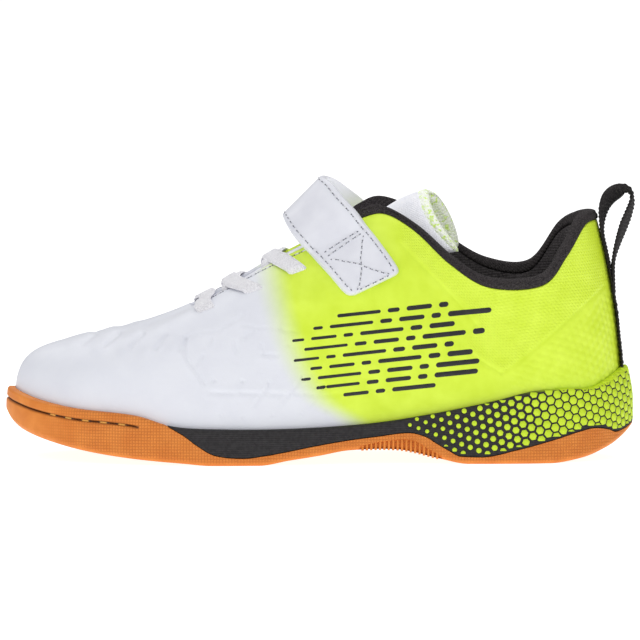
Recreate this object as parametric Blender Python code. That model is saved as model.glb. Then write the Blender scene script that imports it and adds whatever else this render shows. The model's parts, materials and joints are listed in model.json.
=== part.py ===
"""Indoor court shoe for the left foot, a child's size.

Two-rubber cup sole, hollow upper, padded collar cuff, tongue, insole, instep strap,
flat laces and a heel loop.  The toe points to -X, the outer side of the foot is at -Y
and +Z is up.  Every size in this file is in millimetres until it becomes a mesh.
"""
import math
from collections import namedtuple

import bmesh
import bpy
from mathutils import Vector
from mathutils.bvhtree import BVHTree

MM = 0.001

# Driving dimensions
LENGTH = 210.0
BALL_WIDTH = 76.0
HEEL_HEIGHT = 79.7
WALL = 1.8
GAP = 0.3
LIP = 2.9
INSOLE_THICK = 3.5
TONGUE_THICK = 3.6
STRAP_THICK = 1.9
LACE_WIDTH = 6.2
LACE_THICK = 1.1
LOOP_WIDTH = 10.0

# The tables below were drawn for these sizes and are stretched to the driving ones
STRETCH = LENGTH / 210.0
SPREAD = BALL_WIDTH / 76.0
RAISE = HEEL_HEIGHT / 79.7

# Mesh density
STEPS_PER_ROW = 2
WALL_LEVELS = 12

# One row for each section round the shoe.  sole_* is the widest edge of the sole and lip_z its
# top edge.  edge_* is the rim of the throat or collar.  The wall between them is one curve:
# it leaves the sole for `rise`, leaning out by `lean` degrees, and reaches the rim through a
# straight of length `reach` that falls outwards at `slope` degrees.
Row = namedtuple("Row", "sole_x sole_y lip_z edge_x edge_y edge_z rise lean reach slope")

TOE = Row(-105.0, 5.0, 23.3, -43.5, 1.0, 51.5, 29, 4, 43, 24)
LATERAL = (
    Row(-102.2, -6.0, 22.2, -43.2, -2.0, 51.3, 28, 4, 41, 24),
    Row(-94.5, -17.5, 20.2, -42.3, -4.6, 51.2, 27, 3, 38, 25),
    Row(-82.0, -27.8, 18.3, -40.5, -6.6, 51.8, 25, 4, 32, 24),
    Row(-62.5, -35.2, 16.6, -36.0, -7.9, 54.2, 25, 4, 26, 22),
    Row(-48.0, -37.4, 12.9, -28.0, -8.8, 58.8, 27, 3, 24, 26),
    Row(-30.0, -37.9, 12.1, -17.5, -9.8, 65.0, 30, 2, 24, 32),
    Row(-12.0, -36.0, 12.1, -5.0, -10.8, 71.3, 32, 1, 24, 38),
    Row(6.0, -33.3, 12.8, 6.0, -11.6, 77.0, 33, 0, 24, 44),
    Row(22.0, -31.3, 14.2, 14.0, -12.3, 80.9, 33, 0, 25, 49),
    Row(36.0, -30.2, 16.4, 22.0, -14.5, 82.4, 32, 1, 26, 56),
    Row(48.0, -29.9, 18.7, 32.0, -18.2, 76.8, 28, 2, 24, 67),
    Row(60.0, -29.6, 21.2, 44.0, -22.5, 65.8, 22, 3, 18, 78),
    Row(72.0, -28.4, 24.0, 57.0, -24.2, 58.4, 19, 5, 14, 80),
    Row(83.0, -25.4, 24.9, 74.5, -22.4, 59.0, 19, 5, 14, 80),
    Row(92.5, -20.0, 24.9, 82.8, -17.9, 68.6, 20, 3, 17, 79),
    Row(100.5, -11.5, 28.4, 88.8, -10.8, 78.2, 23, 0, 20, 77),
)
HEEL = Row(105.0, 0.0, 31.0, 93.0, 0.0, 79.7, 24, -2, 22, 75)
MEDIAL = (
    Row(-103.0, 14.4, 22.4, -43.2, 3.8, 51.4, 28, 4, 41, 24),
    Row(-96.0, 24.2, 20.6, -42.3, 6.4, 51.3, 27, 3, 38, 25),
    Row(-84.0, 31.7, 18.5, -40.5, 8.4, 52.0, 25, 4, 32, 24),
    Row(-64.5, 37.0, 16.8, -36.0, 9.5, 54.4, 25, 4, 26, 22),
    Row(-50.0, 37.9, 13.2, -28.0, 10.3, 59.0, 27, 3, 24, 26),
    Row(-32.0, 36.0, 12.2, -17.5, 11.0, 65.2, 30, 2, 24, 32),
    Row(-14.0, 31.7, 12.1, -5.0, 11.6, 71.5, 32, 2, 24, 38),
    Row(4.0, 28.0, 12.8, 6.0, 12.0, 77.2, 33, 3, 24, 44),
    Row(20.0, 26.3, 14.2, 14.0, 12.5, 81.5, 33, 3, 25, 50),
    Row(34.0, 26.2, 16.4, 22.0, 14.6, 83.6, 32, 3, 26, 57),
    Row(47.0, 27.0, 18.7, 32.0, 18.2, 79.0, 28, 3, 24, 68),
    Row(60.0, 28.0, 21.2, 44.0, 22.5, 68.8, 22, 3, 18, 79),
    Row(72.0, 27.7, 24.0, 57.0, 24.2, 61.6, 19, 5, 14, 81),
    Row(83.0, 25.0, 24.9, 71.5, 22.9, 61.0, 19, 5, 14, 81),
    Row(92.5, 19.8, 24.9, 82.0, 18.4, 73.9, 20, 3, 17, 79),
    Row(100.5, 11.4, 28.4, 88.8, 10.8, 78.4, 23, 0, 20, 77),
)
ROWS = (TOE,) + LATERAL + (HEEL,) + tuple(reversed(MEDIAL))
HEEL_ROW = len(LATERAL) + 1
STATIONS = STEPS_PER_ROW * len(ROWS)

# Heights along the shoe, as (x, z): underside, cup floor, line between the two rubbers, tops of the arch ribs
UNDERSIDE = (
    (-106, 17.0), (-103.8, 14.5), (-102, 12.0), (-99, 10.0), (-90, 7.0), (-76, 4.0), (-66, 2.6),
    (-55, 1.5), (-45, 0.7), (-36, 0.0), (-20, 0.0), (-10, 1.6), (0, 3.1), (10, 4.8), (20, 5.2), (26, 5.0),
    (31, 4.2), (39.5, 2.0), (50, 0.0), (77, 0.0), (87.5, 1.5), (96, 4.6), (101.5, 8.0),
    (104.3, 10.8), (106, 13.0),
)
CUP_FLOOR = (
    (-104, 17.5), (-95, 14.0), (-80, 11.0), (-60, 8.3), (-40, 7.0), (-20, 7.0), (0, 8.6),
    (20, 11.2), (30, 12.6), (45, 13.6), (70, 14.5), (105, 15.5),
)
GUM_LINE = (
    (-60, 20.0), (-54, 15.0), (-50, 12.9), (-45, 10.0), (-40.8, 6.9), (-34.8, 3.6), (-30, 2.8),
    (-25, 2.6), (-18, 3.4), (0, 6.7), (10.6, 8.4), (19, 9.4), (30, 10.6), (35.4, 9.3), (38.8, 7.2),
    (43.2, 4.6), (47, 2.7), (54, 2.4), (66, 4.7), (79, 8.1), (87.5, 10.6), (92, 11.4),
    (96.3, 10.8), (99.3, 9.6), (102, 10.3), (107, 13.5),
)
RIB_TOPS = ((13, 5.9), (17, 7.0), (22, 7.9), (28, 8.4), (31, 8.1), (36, 5.4), (40, 3.2))

# Side of the sole: insets from its widest edge, and the groove of the toe bumper
UNDER_INSET = 1.3
BEVEL_INSET = 0.35
BEVEL_HEIGHT = 1.1
SWELL_SHARE = 0.55
LIP_BEVEL_INSET = 0.6
LIP_BEVEL_HEIGHT = 0.8
LIP_INSET = 1.2
HEEL_LEAN = 1.4
HEEL_LEAN_SPAN = (88.0, 103.0)
LEAN_SHARES = (0.3, 0.3, 0.5, 0.9, 1.0)
GROOVE_INSETS = (0.1, 0.2, 0.3)
BUMPER_GROOVE_FADE = 4.0
BUMPER_GROOVE_DEPTH = 0.8
BUMPER_GROOVE_BELOW_LIP = 3.4
BUMPER_GROOVE_HALF = 0.5
BUMPER_GROOVE_END = -59.0
ARCH_RIB_FIRST = 14.5
ARCH_RIB_LAST = 40.0
ARCH_RIB_PITCH = 1.46
ARCH_RIB_WIDTH = 0.75
ARCH_RIB_DEPTH = 0.9
FLEX_GROOVES = (-60.0, -51.0, -17.0, -8.0)
FLEX_GROOVE_WIDTH = 2.0
FLEX_GROOVE_DEPTH = 1.0
FLEX_GROOVE_REACH = 25.0

# Collar cuff: its section as (up along the wall, out from the wall), and the rows it spans
CUFF_SECTION = (
    (0.3, 0.0), (1.7, 0.6), (3.1, 0.2), (3.9, -1.2), (3.7, -2.9), (2.4, -4.0), (0.3, -4.2),
)
CUFF_FIRST_ROW = 8.4
CUFF_LAST_ROW = len(ROWS) - CUFF_FIRST_ROW
CUFF_THIN_UNTIL_ROW = 9.6
CUFF_FULL_FROM_ROW = 12.0
CUFF_THIN_SHARE = 0.43

# Tongue: rows it runs along under the throat, then free sections above it
TONGUE_FIRST_ROW = 3.4
TONGUE_LAST_ROW = 9.0
TONGUE_LAPS = (0.30, 0.13)
TONGUE_CROWNS = (2.2, 3.0)
TONGUE_OUTER_CUT = 1.7
TONGUE_INNER_CUT = 0.55
FreeSection = namedtuple("FreeSection", "ridge_x ridge_z corner_x corner_z half_width")
TONGUE_TOP = (
    FreeSection(20.0, 82.8, 29.0, 68.0, 12.0),
    FreeSection(27.5, 87.0, 37.5, 68.6, 12.6),
    FreeSection(34.4, 89.7, 46.0, 69.8, 13.0),
)

# Strap: front and rear edge of each fold line, from the free end over the crest to the far side
Fold = namedtuple("Fold", "front_x front_y front_z rear_x rear_y rear_z")
STRAP = (
    Fold(11.9, -20.0, 56.2, 25.4, -20.0, 62.5),
    Fold(8.7, -20.0, 56.7, 26.2, -20.0, 65.1),
    Fold(3.5, -18.0, 62.4, 20.0, -16.0, 73.8),
    Fold(-0.8, -16.0, 66.8, 16.2, -15.6, 78.4),
    Fold(-5.5, -16.0, 71.6, 12.6, -15.2, 83.4),
    Fold(-8.8, -12.0, 75.2, 8.2, -11.6, 87.8),
    Fold(-10.9, -6.6, 78.3, 4.6, -6.2, 92.0),
    Fold(-11.6, 0.0, 79.6, 2.2, 0.0, 93.6),
    Fold(-10.9, 6.8, 78.3, 5.2, 6.8, 92.8),
    Fold(-8.8, 12.2, 75.2, 9.6, 12.4, 89.4),
    Fold(-5.5, 16.2, 71.6, 15.0, 16.2, 84.8),
    Fold(-0.8, 16.0, 66.8, 19.5, 16.4, 79.4),
    Fold(3.5, 18.0, 62.4, 23.5, 16.6, 74.6),
)

# Laces: the slot each strand comes from, the row where it passes the rim, and the row it heads for
Strand = namedtuple("Strand", "slot_row slot_level rim_row end_row")
LACE_BAR = Strand(4.98, 0.755, 3.77, 3.77)
LACE_CROSSES = (Strand(6.22, 0.77, 5.0, 4.75), Strand(7.17, 0.8, 6.33, 6.0))
LACE_LIFT = 0.6
LACE_CROWN = 0.2
LACE_RIM_SHARE = 0.25
LACE_SQUARE_FROM = 0.4
LACE_CROSS_REACH = 0.68

# Heel loop: at each height, back and front of its two strands and of the window between them
LoopLevel = namedtuple("LoopLevel", "z back window_from window_to front")
LOOP_TAPE_FOOT = 32.2
LOOP_TAPE_THICK = 1.0
LOOP_TAPE_STEPS = 8
LOOP_LEVELS = (
    LoopLevel(65.0, 97.3, 98.0, 98.2, 99.2),
    LoopLevel(71.0, 96.0, 97.2, 98.8, 100.7),
    LoopLevel(78.0, 94.7, 96.4, 100.5, 103.1),
    LoopLevel(83.5, 94.3, 96.8, 102.2, 104.6),
    LoopLevel(87.0, 95.1, 98.2, 103.0, 105.0),
    LoopLevel(89.6, 97.0, 100.2, 102.6, 104.6),
)
LOOP_CROWN = (100.9, 91.3)

Finish = namedtuple("Finish", "colour roughness")
GUM = Finish((0.72, 0.24, 0.05, 1.0), 0.55)
BLACK_FOAM = Finish((0.02, 0.02, 0.02, 1.0), 0.6)
YELLOW_WHITE = Finish((0.64, 0.93, 0.05, 1.0), 0.5)
BLACK_KNIT = Finish((0.03, 0.03, 0.03, 1.0), 0.9)
WHITE_KNIT = Finish((0.8, 0.81, 0.85, 1.0), 0.8)
WHITE_SATIN = Finish((0.8, 0.81, 0.86, 1.0), 0.4)
GREY_FOAM = Finish((0.25, 0.25, 0.27, 1.0), 0.9)


# Interpolation

def catmull(before, start, end, after, part):
    """Smooth value between start and end, with its slope taken from the neighbours."""
    linear = end - before
    square = 2 * before - 5 * start + 4 * end - after
    cube = 3 * start - before - 3 * end + after
    return start + 0.5 * part * (linear + part * (square + part * cube))


def blend_rows(rows, where, closed):
    """A row of the same kind, read smoothly between the rows of a table."""
    count = len(rows)
    low = min(int(math.floor(where)), count if closed else count - 2)
    part = where - low
    picks = []
    for shift in (-1, 0, 1, 2):
        index = low + shift
        picks.append(rows[index % count] if closed else rows[min(max(index, 0), count - 1)])
    return type(rows[0])(*(catmull(*values, part) for values in zip(*picks)))


def profile(table, x):
    """Height at x from an (x, z) table, on a curve that never overshoots its points."""
    if x <= table[0][0]:
        return table[0][1]
    for index in range(len(table) - 1):
        if x <= table[index + 1][0]:
            break
    else:
        return table[-1][1]
    (x0, z0), (x1, z1) = table[index], table[index + 1]
    span = x1 - x0
    step = (z1 - z0) / span
    slopes = [step, step]
    for side, other in ((0, index - 1), (1, index + 1)):
        if 0 <= other < len(table) - 1:
            (a, za), (b, zb) = table[other], table[other + 1]
            rate = (zb - za) / (b - a)
            slopes[side] = 2 * step * rate / (step + rate) if step * rate > 0 else 0.0
    t = (x - x0) / span
    ends = z0 * (1 + 2 * t) * (1 - t) ** 2 + z1 * t * t * (3 - 2 * t)
    bends = slopes[0] * t * (1 - t) ** 2 - slopes[1] * t * t * (1 - t)
    return ends + span * bends


def ease(start, end, value):
    """0 before start, 1 after end, smooth between them."""
    part = min(max((value - start) / (end - start), 0.0), 1.0)
    return part * part * (3 - 2 * part)


# The last: outline, wall and rim

def section(where):
    """Row of the table at any place round the shoe, stretched to the driving sizes."""
    row = blend_rows(ROWS, where % len(ROWS), True)
    return row._replace(
        sole_x=row.sole_x * STRETCH, edge_x=row.edge_x * STRETCH,
        sole_y=row.sole_y * SPREAD, edge_y=row.edge_y * SPREAD,
        lip_z=row.lip_z * RAISE, edge_z=row.edge_z * RAISE)


def outline(where):
    """Widest edge of the sole in plan, and its outward direction."""
    row = section(where)
    ahead, behind = section(where + 0.05), section(where - 0.05)
    run_x = ahead.sole_x - behind.sole_x
    run_y = ahead.sole_y - behind.sole_y
    return Vector((row.sole_x, row.sole_y, 0)), Vector((run_y, -run_x, 0)).normalized()


def wall(where, level):
    """Outer face of the upper: level 0 stands in the cup of the sole, level 1 is the rim."""
    row = section(where)
    edge, outward = outline(where)
    foot = edge - outward * (LIP + GAP)
    foot.z = profile(CUP_FLOOR, foot.x) + GAP
    rim = Vector((row.edge_x, row.edge_y, row.edge_z))
    lean, slope = math.radians(row.lean), math.radians(row.slope)
    foot_pull = foot + (outward * math.sin(lean) + Vector((0, 0, math.cos(lean)))) * row.rise
    away = (foot - rim).xy.to_3d().normalized()
    rim_pull = rim + (away * math.cos(slope) - Vector((0, 0, math.sin(slope)))) * row.reach
    rest = 1 - level
    return (foot * rest ** 3 + foot_pull * 3 * rest ** 2 * level
            + rim_pull * 3 * rest * level ** 2 + rim * level ** 3)


def wall_frame(where, level):
    """Directions up along the wall and out of it."""
    step = 0.01
    up = (wall(where, level) - wall(where, level - step)).normalized()
    along = wall(where + step, level) - wall(where - step, level)
    return up, along.cross(up).normalized()


def inside_wall(where, level, depth):
    """A point under the outer face of the upper."""
    return wall(where, level) - wall_frame(where, level)[1] * depth


def lip_level(where):
    """Level at which the wall leaves the cup of the sole."""
    low, high = 0.0, 0.6
    target = section(where).lip_z
    for _ in range(24):
        middle = (low + high) / 2
        if wall(where, middle).z < target:
            low = middle
        else:
            high = middle
    return low


# Mesh helpers

def finish_material(name, finish):
    material = bpy.data.materials.new(name)
    material.use_nodes = True
    shader = material.node_tree.nodes["Principled BSDF"]
    shader.inputs["Base Color"].default_value = finish.colour
    shader.inputs["Roughness"].default_value = finish.roughness
    shader.inputs["Metallic"].default_value = 0.0
    return material


def add_object(name, points, faces, finish, parent):
    """Named object from points in millimetres, with its own material."""
    mesh = bpy.data.meshes.new(name)
    mesh.from_pydata([point * MM for point in points], [], faces)
    mesh.shade_smooth()
    mesh.set_sharp_from_angle(angle=math.radians(40))
    thing = bpy.data.objects.new(name, mesh)
    bpy.context.scene.collection.objects.link(thing)
    thing.parent = parent
    mesh.materials.append(finish_material(name + "_finish", finish))
    return thing


def face_outwards(thing):
    """Turn the faces of a closed mesh outwards."""
    work = bmesh.new()
    work.from_mesh(thing.data)
    bmesh.ops.recalc_face_normals(work, faces=work.faces)
    work.to_mesh(thing.data)
    work.free()


def strip_faces(rows, columns, closed):
    """Quads between neighbouring rows of a grid of points."""
    faces = []
    for row in range(rows - 1):
        for column in range(columns if closed else columns - 1):
            beside = (column + 1) % columns
            faces.append((row * columns + column, row * columns + beside,
                          (row + 1) * columns + beside, (row + 1) * columns + column))
    return faces


def across_faces(count, first):
    """Faces that close a ring round the shoe, from each side to the other."""
    half = count // 2
    faces = [(first, first + 1, first + count - 1)]
    for index in range(1, half - 1):
        faces.append((first + index, first + index + 1, first + count - index - 1, first + count - index))
    faces.append((first + half - 1, first + half, first + half + 1))
    return faces


def add_tube(name, sections, finish, parent):
    """Closed solid through equal closed sections."""
    count = len(sections[0])
    faces = strip_faces(len(sections), count, True)
    faces.append(tuple(range(count)))
    last = (len(sections) - 1) * count
    faces.append(tuple(last + index for index in range(count)))
    thing = add_object(name, [point for ring in sections for point in ring], faces, finish, parent)
    face_outwards(thing)
    return thing


def add_sheet(name, grid, thick, offset, finish, parent):
    """Closed solid of even thickness on a grid of points."""
    faces = strip_faces(len(grid), len(grid[0]), False)
    thing = add_object(name, [point for row in grid for point in row], faces, finish, parent)
    thicken(thing, thick, offset)
    return thing


def thicken(thing, thick, offset):
    solid = thing.modifiers.new("thickness", "SOLIDIFY")
    solid.thickness = thick * MM
    solid.offset = offset
    solid.use_even_offset = True


def add_rings(name, rings, finish, parent):
    """Closed solid from rings round the shoe, closed across at the first and last ring."""
    count = len(rings[0])
    faces = strip_faces(len(rings), count, True)
    faces += across_faces(count, 0)
    faces += across_faces(count, (len(rings) - 1) * count)
    thing = add_object(name, [point for ring in rings for point in ring], faces, finish, parent)
    face_outwards(thing)
    return thing


def boolean(thing, cutter, operation):
    cutter.hide_render = True
    cutter.display_type = "WIRE"
    cut = thing.modifiers.new(operation.lower(), "BOOLEAN")
    cut.operation = operation
    cut.object = cutter


def join_boxes(name, boxes, finish, parent):
    """Separate boxes in one cutter, each as lowest and highest corner."""
    work = bmesh.new()
    for low, high in boxes:
        made = bmesh.ops.create_cube(work, size=1.0)["verts"]
        bmesh.ops.scale(work, vec=(high - low) * MM, verts=made)
        bmesh.ops.translate(work, vec=(high + low) * 0.5 * MM, verts=made)
    thing = add_object(name, [], [], finish, parent)
    work.to_mesh(thing.data)
    work.free()
    return thing


def stations():
    return [index / STEPS_PER_ROW for index in range(STATIONS)]


# Sole

def sole_section(where):
    """Points of the sole's section from under the foot, up its side and down into the cup."""
    row = section(where)
    edge, outward = outline(where)
    lean = [HEEL_LEAN * share * ease(*HEEL_LEAN_SPAN, edge.x) for share in LEAN_SHARES]

    def at(inset, z):
        point = edge - outward * inset
        return Vector((point.x, point.y, z))

    under = edge - outward * UNDER_INSET
    bottom = profile(UNDERSIDE, under.x)
    groove = row.lip_z - BUMPER_GROOVE_BELOW_LIP
    fading = ease(BUMPER_GROOVE_END - BUMPER_GROOVE_FADE, BUMPER_GROOVE_END, edge.x)
    depth = BUMPER_GROOVE_DEPTH * (1 - fading)
    swell = bottom + SWELL_SHARE * (groove - BUMPER_GROOVE_HALF - bottom)
    lip_inner = wall(where, lip_level(where)) + outward * GAP
    floor = wall(where, 0.0) + outward * GAP
    floor.z -= GAP
    return [
        at(UNDER_INSET, bottom),
        at(BEVEL_INSET, bottom + BEVEL_HEIGHT),
        at(0.0, swell),
        at(GROOVE_INSETS[0] + lean[0], groove - BUMPER_GROOVE_HALF),
        at(GROOVE_INSETS[1] + lean[1] + depth, groove),
        at(GROOVE_INSETS[2] + lean[2], groove + BUMPER_GROOVE_HALF),
        at(LIP_BEVEL_INSET + lean[3], row.lip_z - LIP_BEVEL_HEIGHT),
        at(LIP_INSET + lean[4], row.lip_z),
        Vector((lip_inner.x, lip_inner.y, row.lip_z)),
        floor,
    ]


def gum_cutter(name, shift, finish, parent):
    """Everything above the line between the two rubbers, moved up by shift."""
    step = 2.5
    count = int((GUM_LINE[-1][0] - GUM_LINE[0][0]) / step)
    run = [GUM_LINE[0][0] + index * step for index in range(count + 1)]
    line = [(x, profile(GUM_LINE, x) + shift) for x in run]
    top, half = HEEL_HEIGHT, BALL_WIDTH
    loop = line + [(run[-1], top), (run[0], top)]
    sections = [[Vector((x, side * half, z)) for x, z in loop] for side in (-1, 1)]
    return add_tube(name, sections, finish, parent)


def arch_side_rows():
    """Places round the shoe of the arch ribs, found by their distance along the shoe."""
    places = []
    count = int((ARCH_RIB_LAST - ARCH_RIB_FIRST) / ARCH_RIB_PITCH)
    for index in range(count + 1):
        x = ARCH_RIB_FIRST + index * ARCH_RIB_PITCH
        for low, high in ((0.0, HEEL_ROW), (len(ROWS), HEEL_ROW)):
            for _ in range(24):
                middle = (low + high) / 2
                if section(middle).sole_x < x:
                    low = middle
                else:
                    high = middle
            places.append(low)
    return places


def rib_boxes():
    boxes = []
    outside = 4.0
    for where in arch_side_rows():
        edge = outline(where)[0]
        top = profile(RIB_TOPS, edge.x)
        inner = edge.y - math.copysign(ARCH_RIB_DEPTH, edge.y)
        outer = edge.y + math.copysign(outside, edge.y)
        half = ARCH_RIB_WIDTH / 2
        boxes.append((Vector((edge.x - half, min(inner, outer), -outside)),
                      Vector((edge.x + half, max(inner, outer), top))))
    return boxes


def flex_boxes():
    """Cross grooves under the forefoot."""
    boxes = []
    half, reach = FLEX_GROOVE_WIDTH / 2, FLEX_GROOVE_REACH
    for x in FLEX_GROOVES:
        top = profile(UNDERSIDE, x) + FLEX_GROOVE_DEPTH
        boxes.append((Vector((x - half, -reach, -reach)), Vector((x + half, reach, top))))
    return boxes


def make_sole(parent):
    rings = list(zip(*(sole_section(where) for where in stations())))
    outsole = add_rings("outsole", rings, GUM, parent)
    boolean(outsole, gum_cutter("above_gum", -GAP / 2, GUM, parent), "DIFFERENCE")
    boolean(outsole, join_boxes("arch_ribs", rib_boxes(), GUM, parent), "DIFFERENCE")
    boolean(outsole, join_boxes("flex_grooves", flex_boxes(), GUM, parent), "DIFFERENCE")
    midsole = add_rings("midsole", rings, BLACK_FOAM, parent)
    boolean(midsole, gum_cutter("below_foam", GAP / 2, BLACK_FOAM, parent), "INTERSECT")


# Upper, cuff, tongue and insole

def make_upper(parent):
    grid = [[wall(where, level / WALL_LEVELS) for where in stations()] for level in range(WALL_LEVELS + 1)]
    points = [point for ring in grid for point in ring]
    faces = strip_faces(len(grid), STATIONS, True)
    upper = add_object("upper", points, faces, YELLOW_WHITE, parent)
    thicken(upper, WALL, -1.0)
    return BVHTree.FromPolygons(points, faces)


def make_cuff(parent):
    count = int((CUFF_LAST_ROW - CUFF_FIRST_ROW) * STEPS_PER_ROW)
    sections = []
    for index in range(count + 1):
        where = CUFF_FIRST_ROW + (CUFF_LAST_ROW - CUFF_FIRST_ROW) * index / count
        up, out = wall_frame(where, 1.0)
        rim = wall(where, 1.0)
        from_front = min(where, len(ROWS) - where)
        padding = ease(CUFF_THIN_UNTIL_ROW, CUFF_FULL_FROM_ROW, from_front)
        share = CUFF_THIN_SHARE + (1 - CUFF_THIN_SHARE) * padding
        sections.append([rim + up * rise + out * depth * share for rise, depth in CUFF_SECTION])
    add_tube("collar_cuff", sections, BLACK_KNIT, parent)


def tongue_under_throat(where):
    """Section of the tongue that the throat's two edges lap over."""
    part = (where - TONGUE_FIRST_ROW) / (TONGUE_LAST_ROW - TONGUE_FIRST_ROW)
    lap = TONGUE_LAPS[0] + (TONGUE_LAPS[1] - TONGUE_LAPS[0]) * part
    crown = TONGUE_CROWNS[0] + (TONGUE_CROWNS[1] - TONGUE_CROWNS[0]) * ease(0.5, 1.0, part)
    depth = WALL + 2 * GAP
    levels = [1.0 - lap * share for share in (1.0, 0.5, 0.0)]
    near = [inside_wall(where, level, depth) for level in levels]
    far = [inside_wall(len(ROWS) - where, level, depth) for level in reversed(levels)]
    arch = []
    for share in (0.25, 0.5, 0.75):
        point = near[-1].lerp(far[0], share)
        point.z += crown * math.sin(math.pi * share)
        arch.append(point)
    return near + arch + far


def tongue_above_throat(free):
    """Free section of the tongue: a half pipe whose end is cut back towards its corners."""
    points = []
    for column in range(-4, 5):
        turn = math.radians(90 * abs(column) / 4)
        fall = 1 - math.cos(turn)
        cut = TONGUE_OUTER_CUT if column < 0 else TONGUE_INNER_CUT
        points.append(Vector((
            free.ridge_x + (free.corner_x - free.ridge_x) * fall ** cut,
            math.copysign(free.half_width * math.sin(turn), column),
            free.ridge_z + (free.corner_z - free.ridge_z) * fall)))
    return points


def make_tongue(parent):
    steps = 12
    span = TONGUE_LAST_ROW - TONGUE_FIRST_ROW
    grid = [tongue_under_throat(TONGUE_FIRST_ROW + span * index / steps) for index in range(steps + 1)]
    grid += [tongue_above_throat(free) for free in TONGUE_TOP]
    add_sheet("tongue", grid, TONGUE_THICK, 1.0, WHITE_KNIT, parent)


def make_insole(parent):
    rings = []
    for inset, height in ((0.0, 0.0), (0.0, INSOLE_THICK - 0.8), (1.0, INSOLE_THICK)):
        ring = []
        for where in stations():
            outward = outline(where)[1]
            point = wall(where, 0.0) - outward * (WALL + 2 * GAP + inset)
            ring.append(Vector((point.x, point.y, profile(CUP_FLOOR, point.x) + 2 * GAP + height)))
        rings.append(ring)
    add_rings("insole", rings, GREY_FOAM, parent)


# Strap, laces and heel loop

def rest_on_wall(upper, point, gap):
    """Move a point sideways until it lies outside the upper."""
    side = math.copysign(1.0, point.y)
    start = Vector((point.x, side * BALL_WIDTH, point.z))
    hit = upper.ray_cast(start, Vector((0, -side, 0)))[0]
    if hit is not None and side * point.y < side * hit.y + gap:
        return Vector((point.x, hit.y + side * gap, point.z))
    return point


def make_strap(parent, upper):
    steps, columns = 30, 5
    grid = []
    for index in range(steps + 1):
        fold = blend_rows(STRAP, (len(STRAP) - 1) * index / steps, False)
        front = Vector((fold.front_x, fold.front_y, fold.front_z))
        rear = Vector((fold.rear_x, fold.rear_y, fold.rear_z))
        row = [front.lerp(rear, column / (columns - 1)) for column in range(columns)]
        grid.append([rest_on_wall(upper, point, 2 * GAP) for point in row])
    add_sheet("strap", grid, STRAP_THICK, 1.0, WHITE_SATIN, parent)


def lace_place(strand, share, mirrored):
    """Point over throat and tongue, its outward direction and the rim's own direction there."""
    if share > 1 - LACE_RIM_SHARE:
        opposite = strand._replace(rim_row=strand.end_row)
        return lace_place(opposite, 1 - share, not mirrored)
    part = min(share / LACE_RIM_SHARE, 1.0)
    where = strand.slot_row + (strand.rim_row - strand.slot_row) * part
    level = strand.slot_level + (1.0 - strand.slot_level) * part
    across = max(share - LACE_RIM_SHARE, 0.0) / (1 - 2 * LACE_RIM_SHARE)
    start = len(ROWS) - where if mirrored else where
    end = strand.end_row if mirrored else len(ROWS) - strand.end_row
    point = wall(start, level)
    out = wall_frame(start, level)[1]
    rim_way = (wall(start + 0.05, level) - wall(start - 0.05, level)).normalized()
    if across > 0:
        point = point.lerp(wall(end, 1.0), across)
        out = out.lerp(wall_frame(end, 1.0)[1], across).normalized()
        point.z += LACE_CROWN * math.sin(math.pi * across)
    return point + out * LACE_LIFT, out, rim_way


def lace_grid(strand, share_to, mirrored):
    """Flat strand: its width follows the rim at the slots and is square to its run in the middle."""
    steps = 16
    shares = [share_to * index / steps for index in range(steps + 1)]
    places = [lace_place(strand, share, mirrored) for share in shares]
    grid = []
    for index, (centre, out, rim_way) in enumerate(places):
        run = places[min(index + 1, steps)][0] - places[max(index - 1, 0)][0]
        square = run.cross(out).normalized()
        from_slot = min(shares[index], 1 - shares[index])
        slanted = rim_way * math.copysign(1.0, rim_way.dot(square))
        across = slanted.lerp(square, ease(0.0, LACE_SQUARE_FROM, from_slot)).normalized() * LACE_WIDTH / 2
        grid.append([centre - across, centre, centre + across])
    return grid


def make_laces(parent):
    add_sheet("lace_bar_1", lace_grid(LACE_BAR, 1.0, False), LACE_THICK, 1.0, WHITE_KNIT, parent)
    for number, strand in enumerate(LACE_CROSSES, start=2):
        name = "lace_cross_%d" % number
        strips = [lace_grid(strand, LACE_CROSS_REACH, mirrored) for mirrored in (False, True)]
        outer = add_sheet(name, strips[0], LACE_THICK, 1.0, WHITE_KNIT, parent)
        inner = add_sheet(name + "_inner", strips[1], LACE_THICK, 1.0, WHITE_KNIT, parent)
        boolean(outer, inner, "UNION")


def heel_back(upper, z):
    """How far back the upper reaches at a height."""
    hit = upper.ray_cast(Vector((LENGTH, 0, z)), Vector((-1, 0, 0)))[0]
    return hit.x


def make_pull_loop(parent, upper):
    points, faces = [], []
    first = LOOP_LEVELS[0]
    for index in range(LOOP_TAPE_STEPS):
        z = LOOP_TAPE_FOOT + (first.z - LOOP_TAPE_FOOT) * index / LOOP_TAPE_STEPS
        back = heel_back(upper, z) + GAP
        points += [Vector((back, 0, z)), Vector((back + LOOP_TAPE_THICK, 0, z))]
    for index in range(LOOP_TAPE_STEPS - 1):
        faces.append((2 * index, 2 * index + 1, 2 * index + 3, 2 * index + 2))
    base = len(points)
    for level in LOOP_LEVELS:
        points += [Vector((x, 0, level.z)) for x in level[1:]]
    faces.append((base - 2, base - 1, base + 3, base + 2, base + 1, base))
    for index in range(len(LOOP_LEVELS) - 1):
        low, high = base + 4 * index, base + 4 * index + 4
        faces.append((low, low + 1, high + 1, high))
        faces.append((low + 2, low + 3, high + 3, high + 2))
    top = len(points) - 4
    points.append(Vector((LOOP_CROWN[0], 0, LOOP_CROWN[1])))
    faces.append((top, top + 1, top + 2, top + 3, top + 4))
    loop = add_object("pull_loop", points, faces, BLACK_KNIT, parent)
    thicken(loop, LOOP_WIDTH, 0.0)


def clear_scene():
    for thing in list(bpy.data.objects):
        bpy.data.objects.remove(thing, do_unlink=True)


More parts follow.
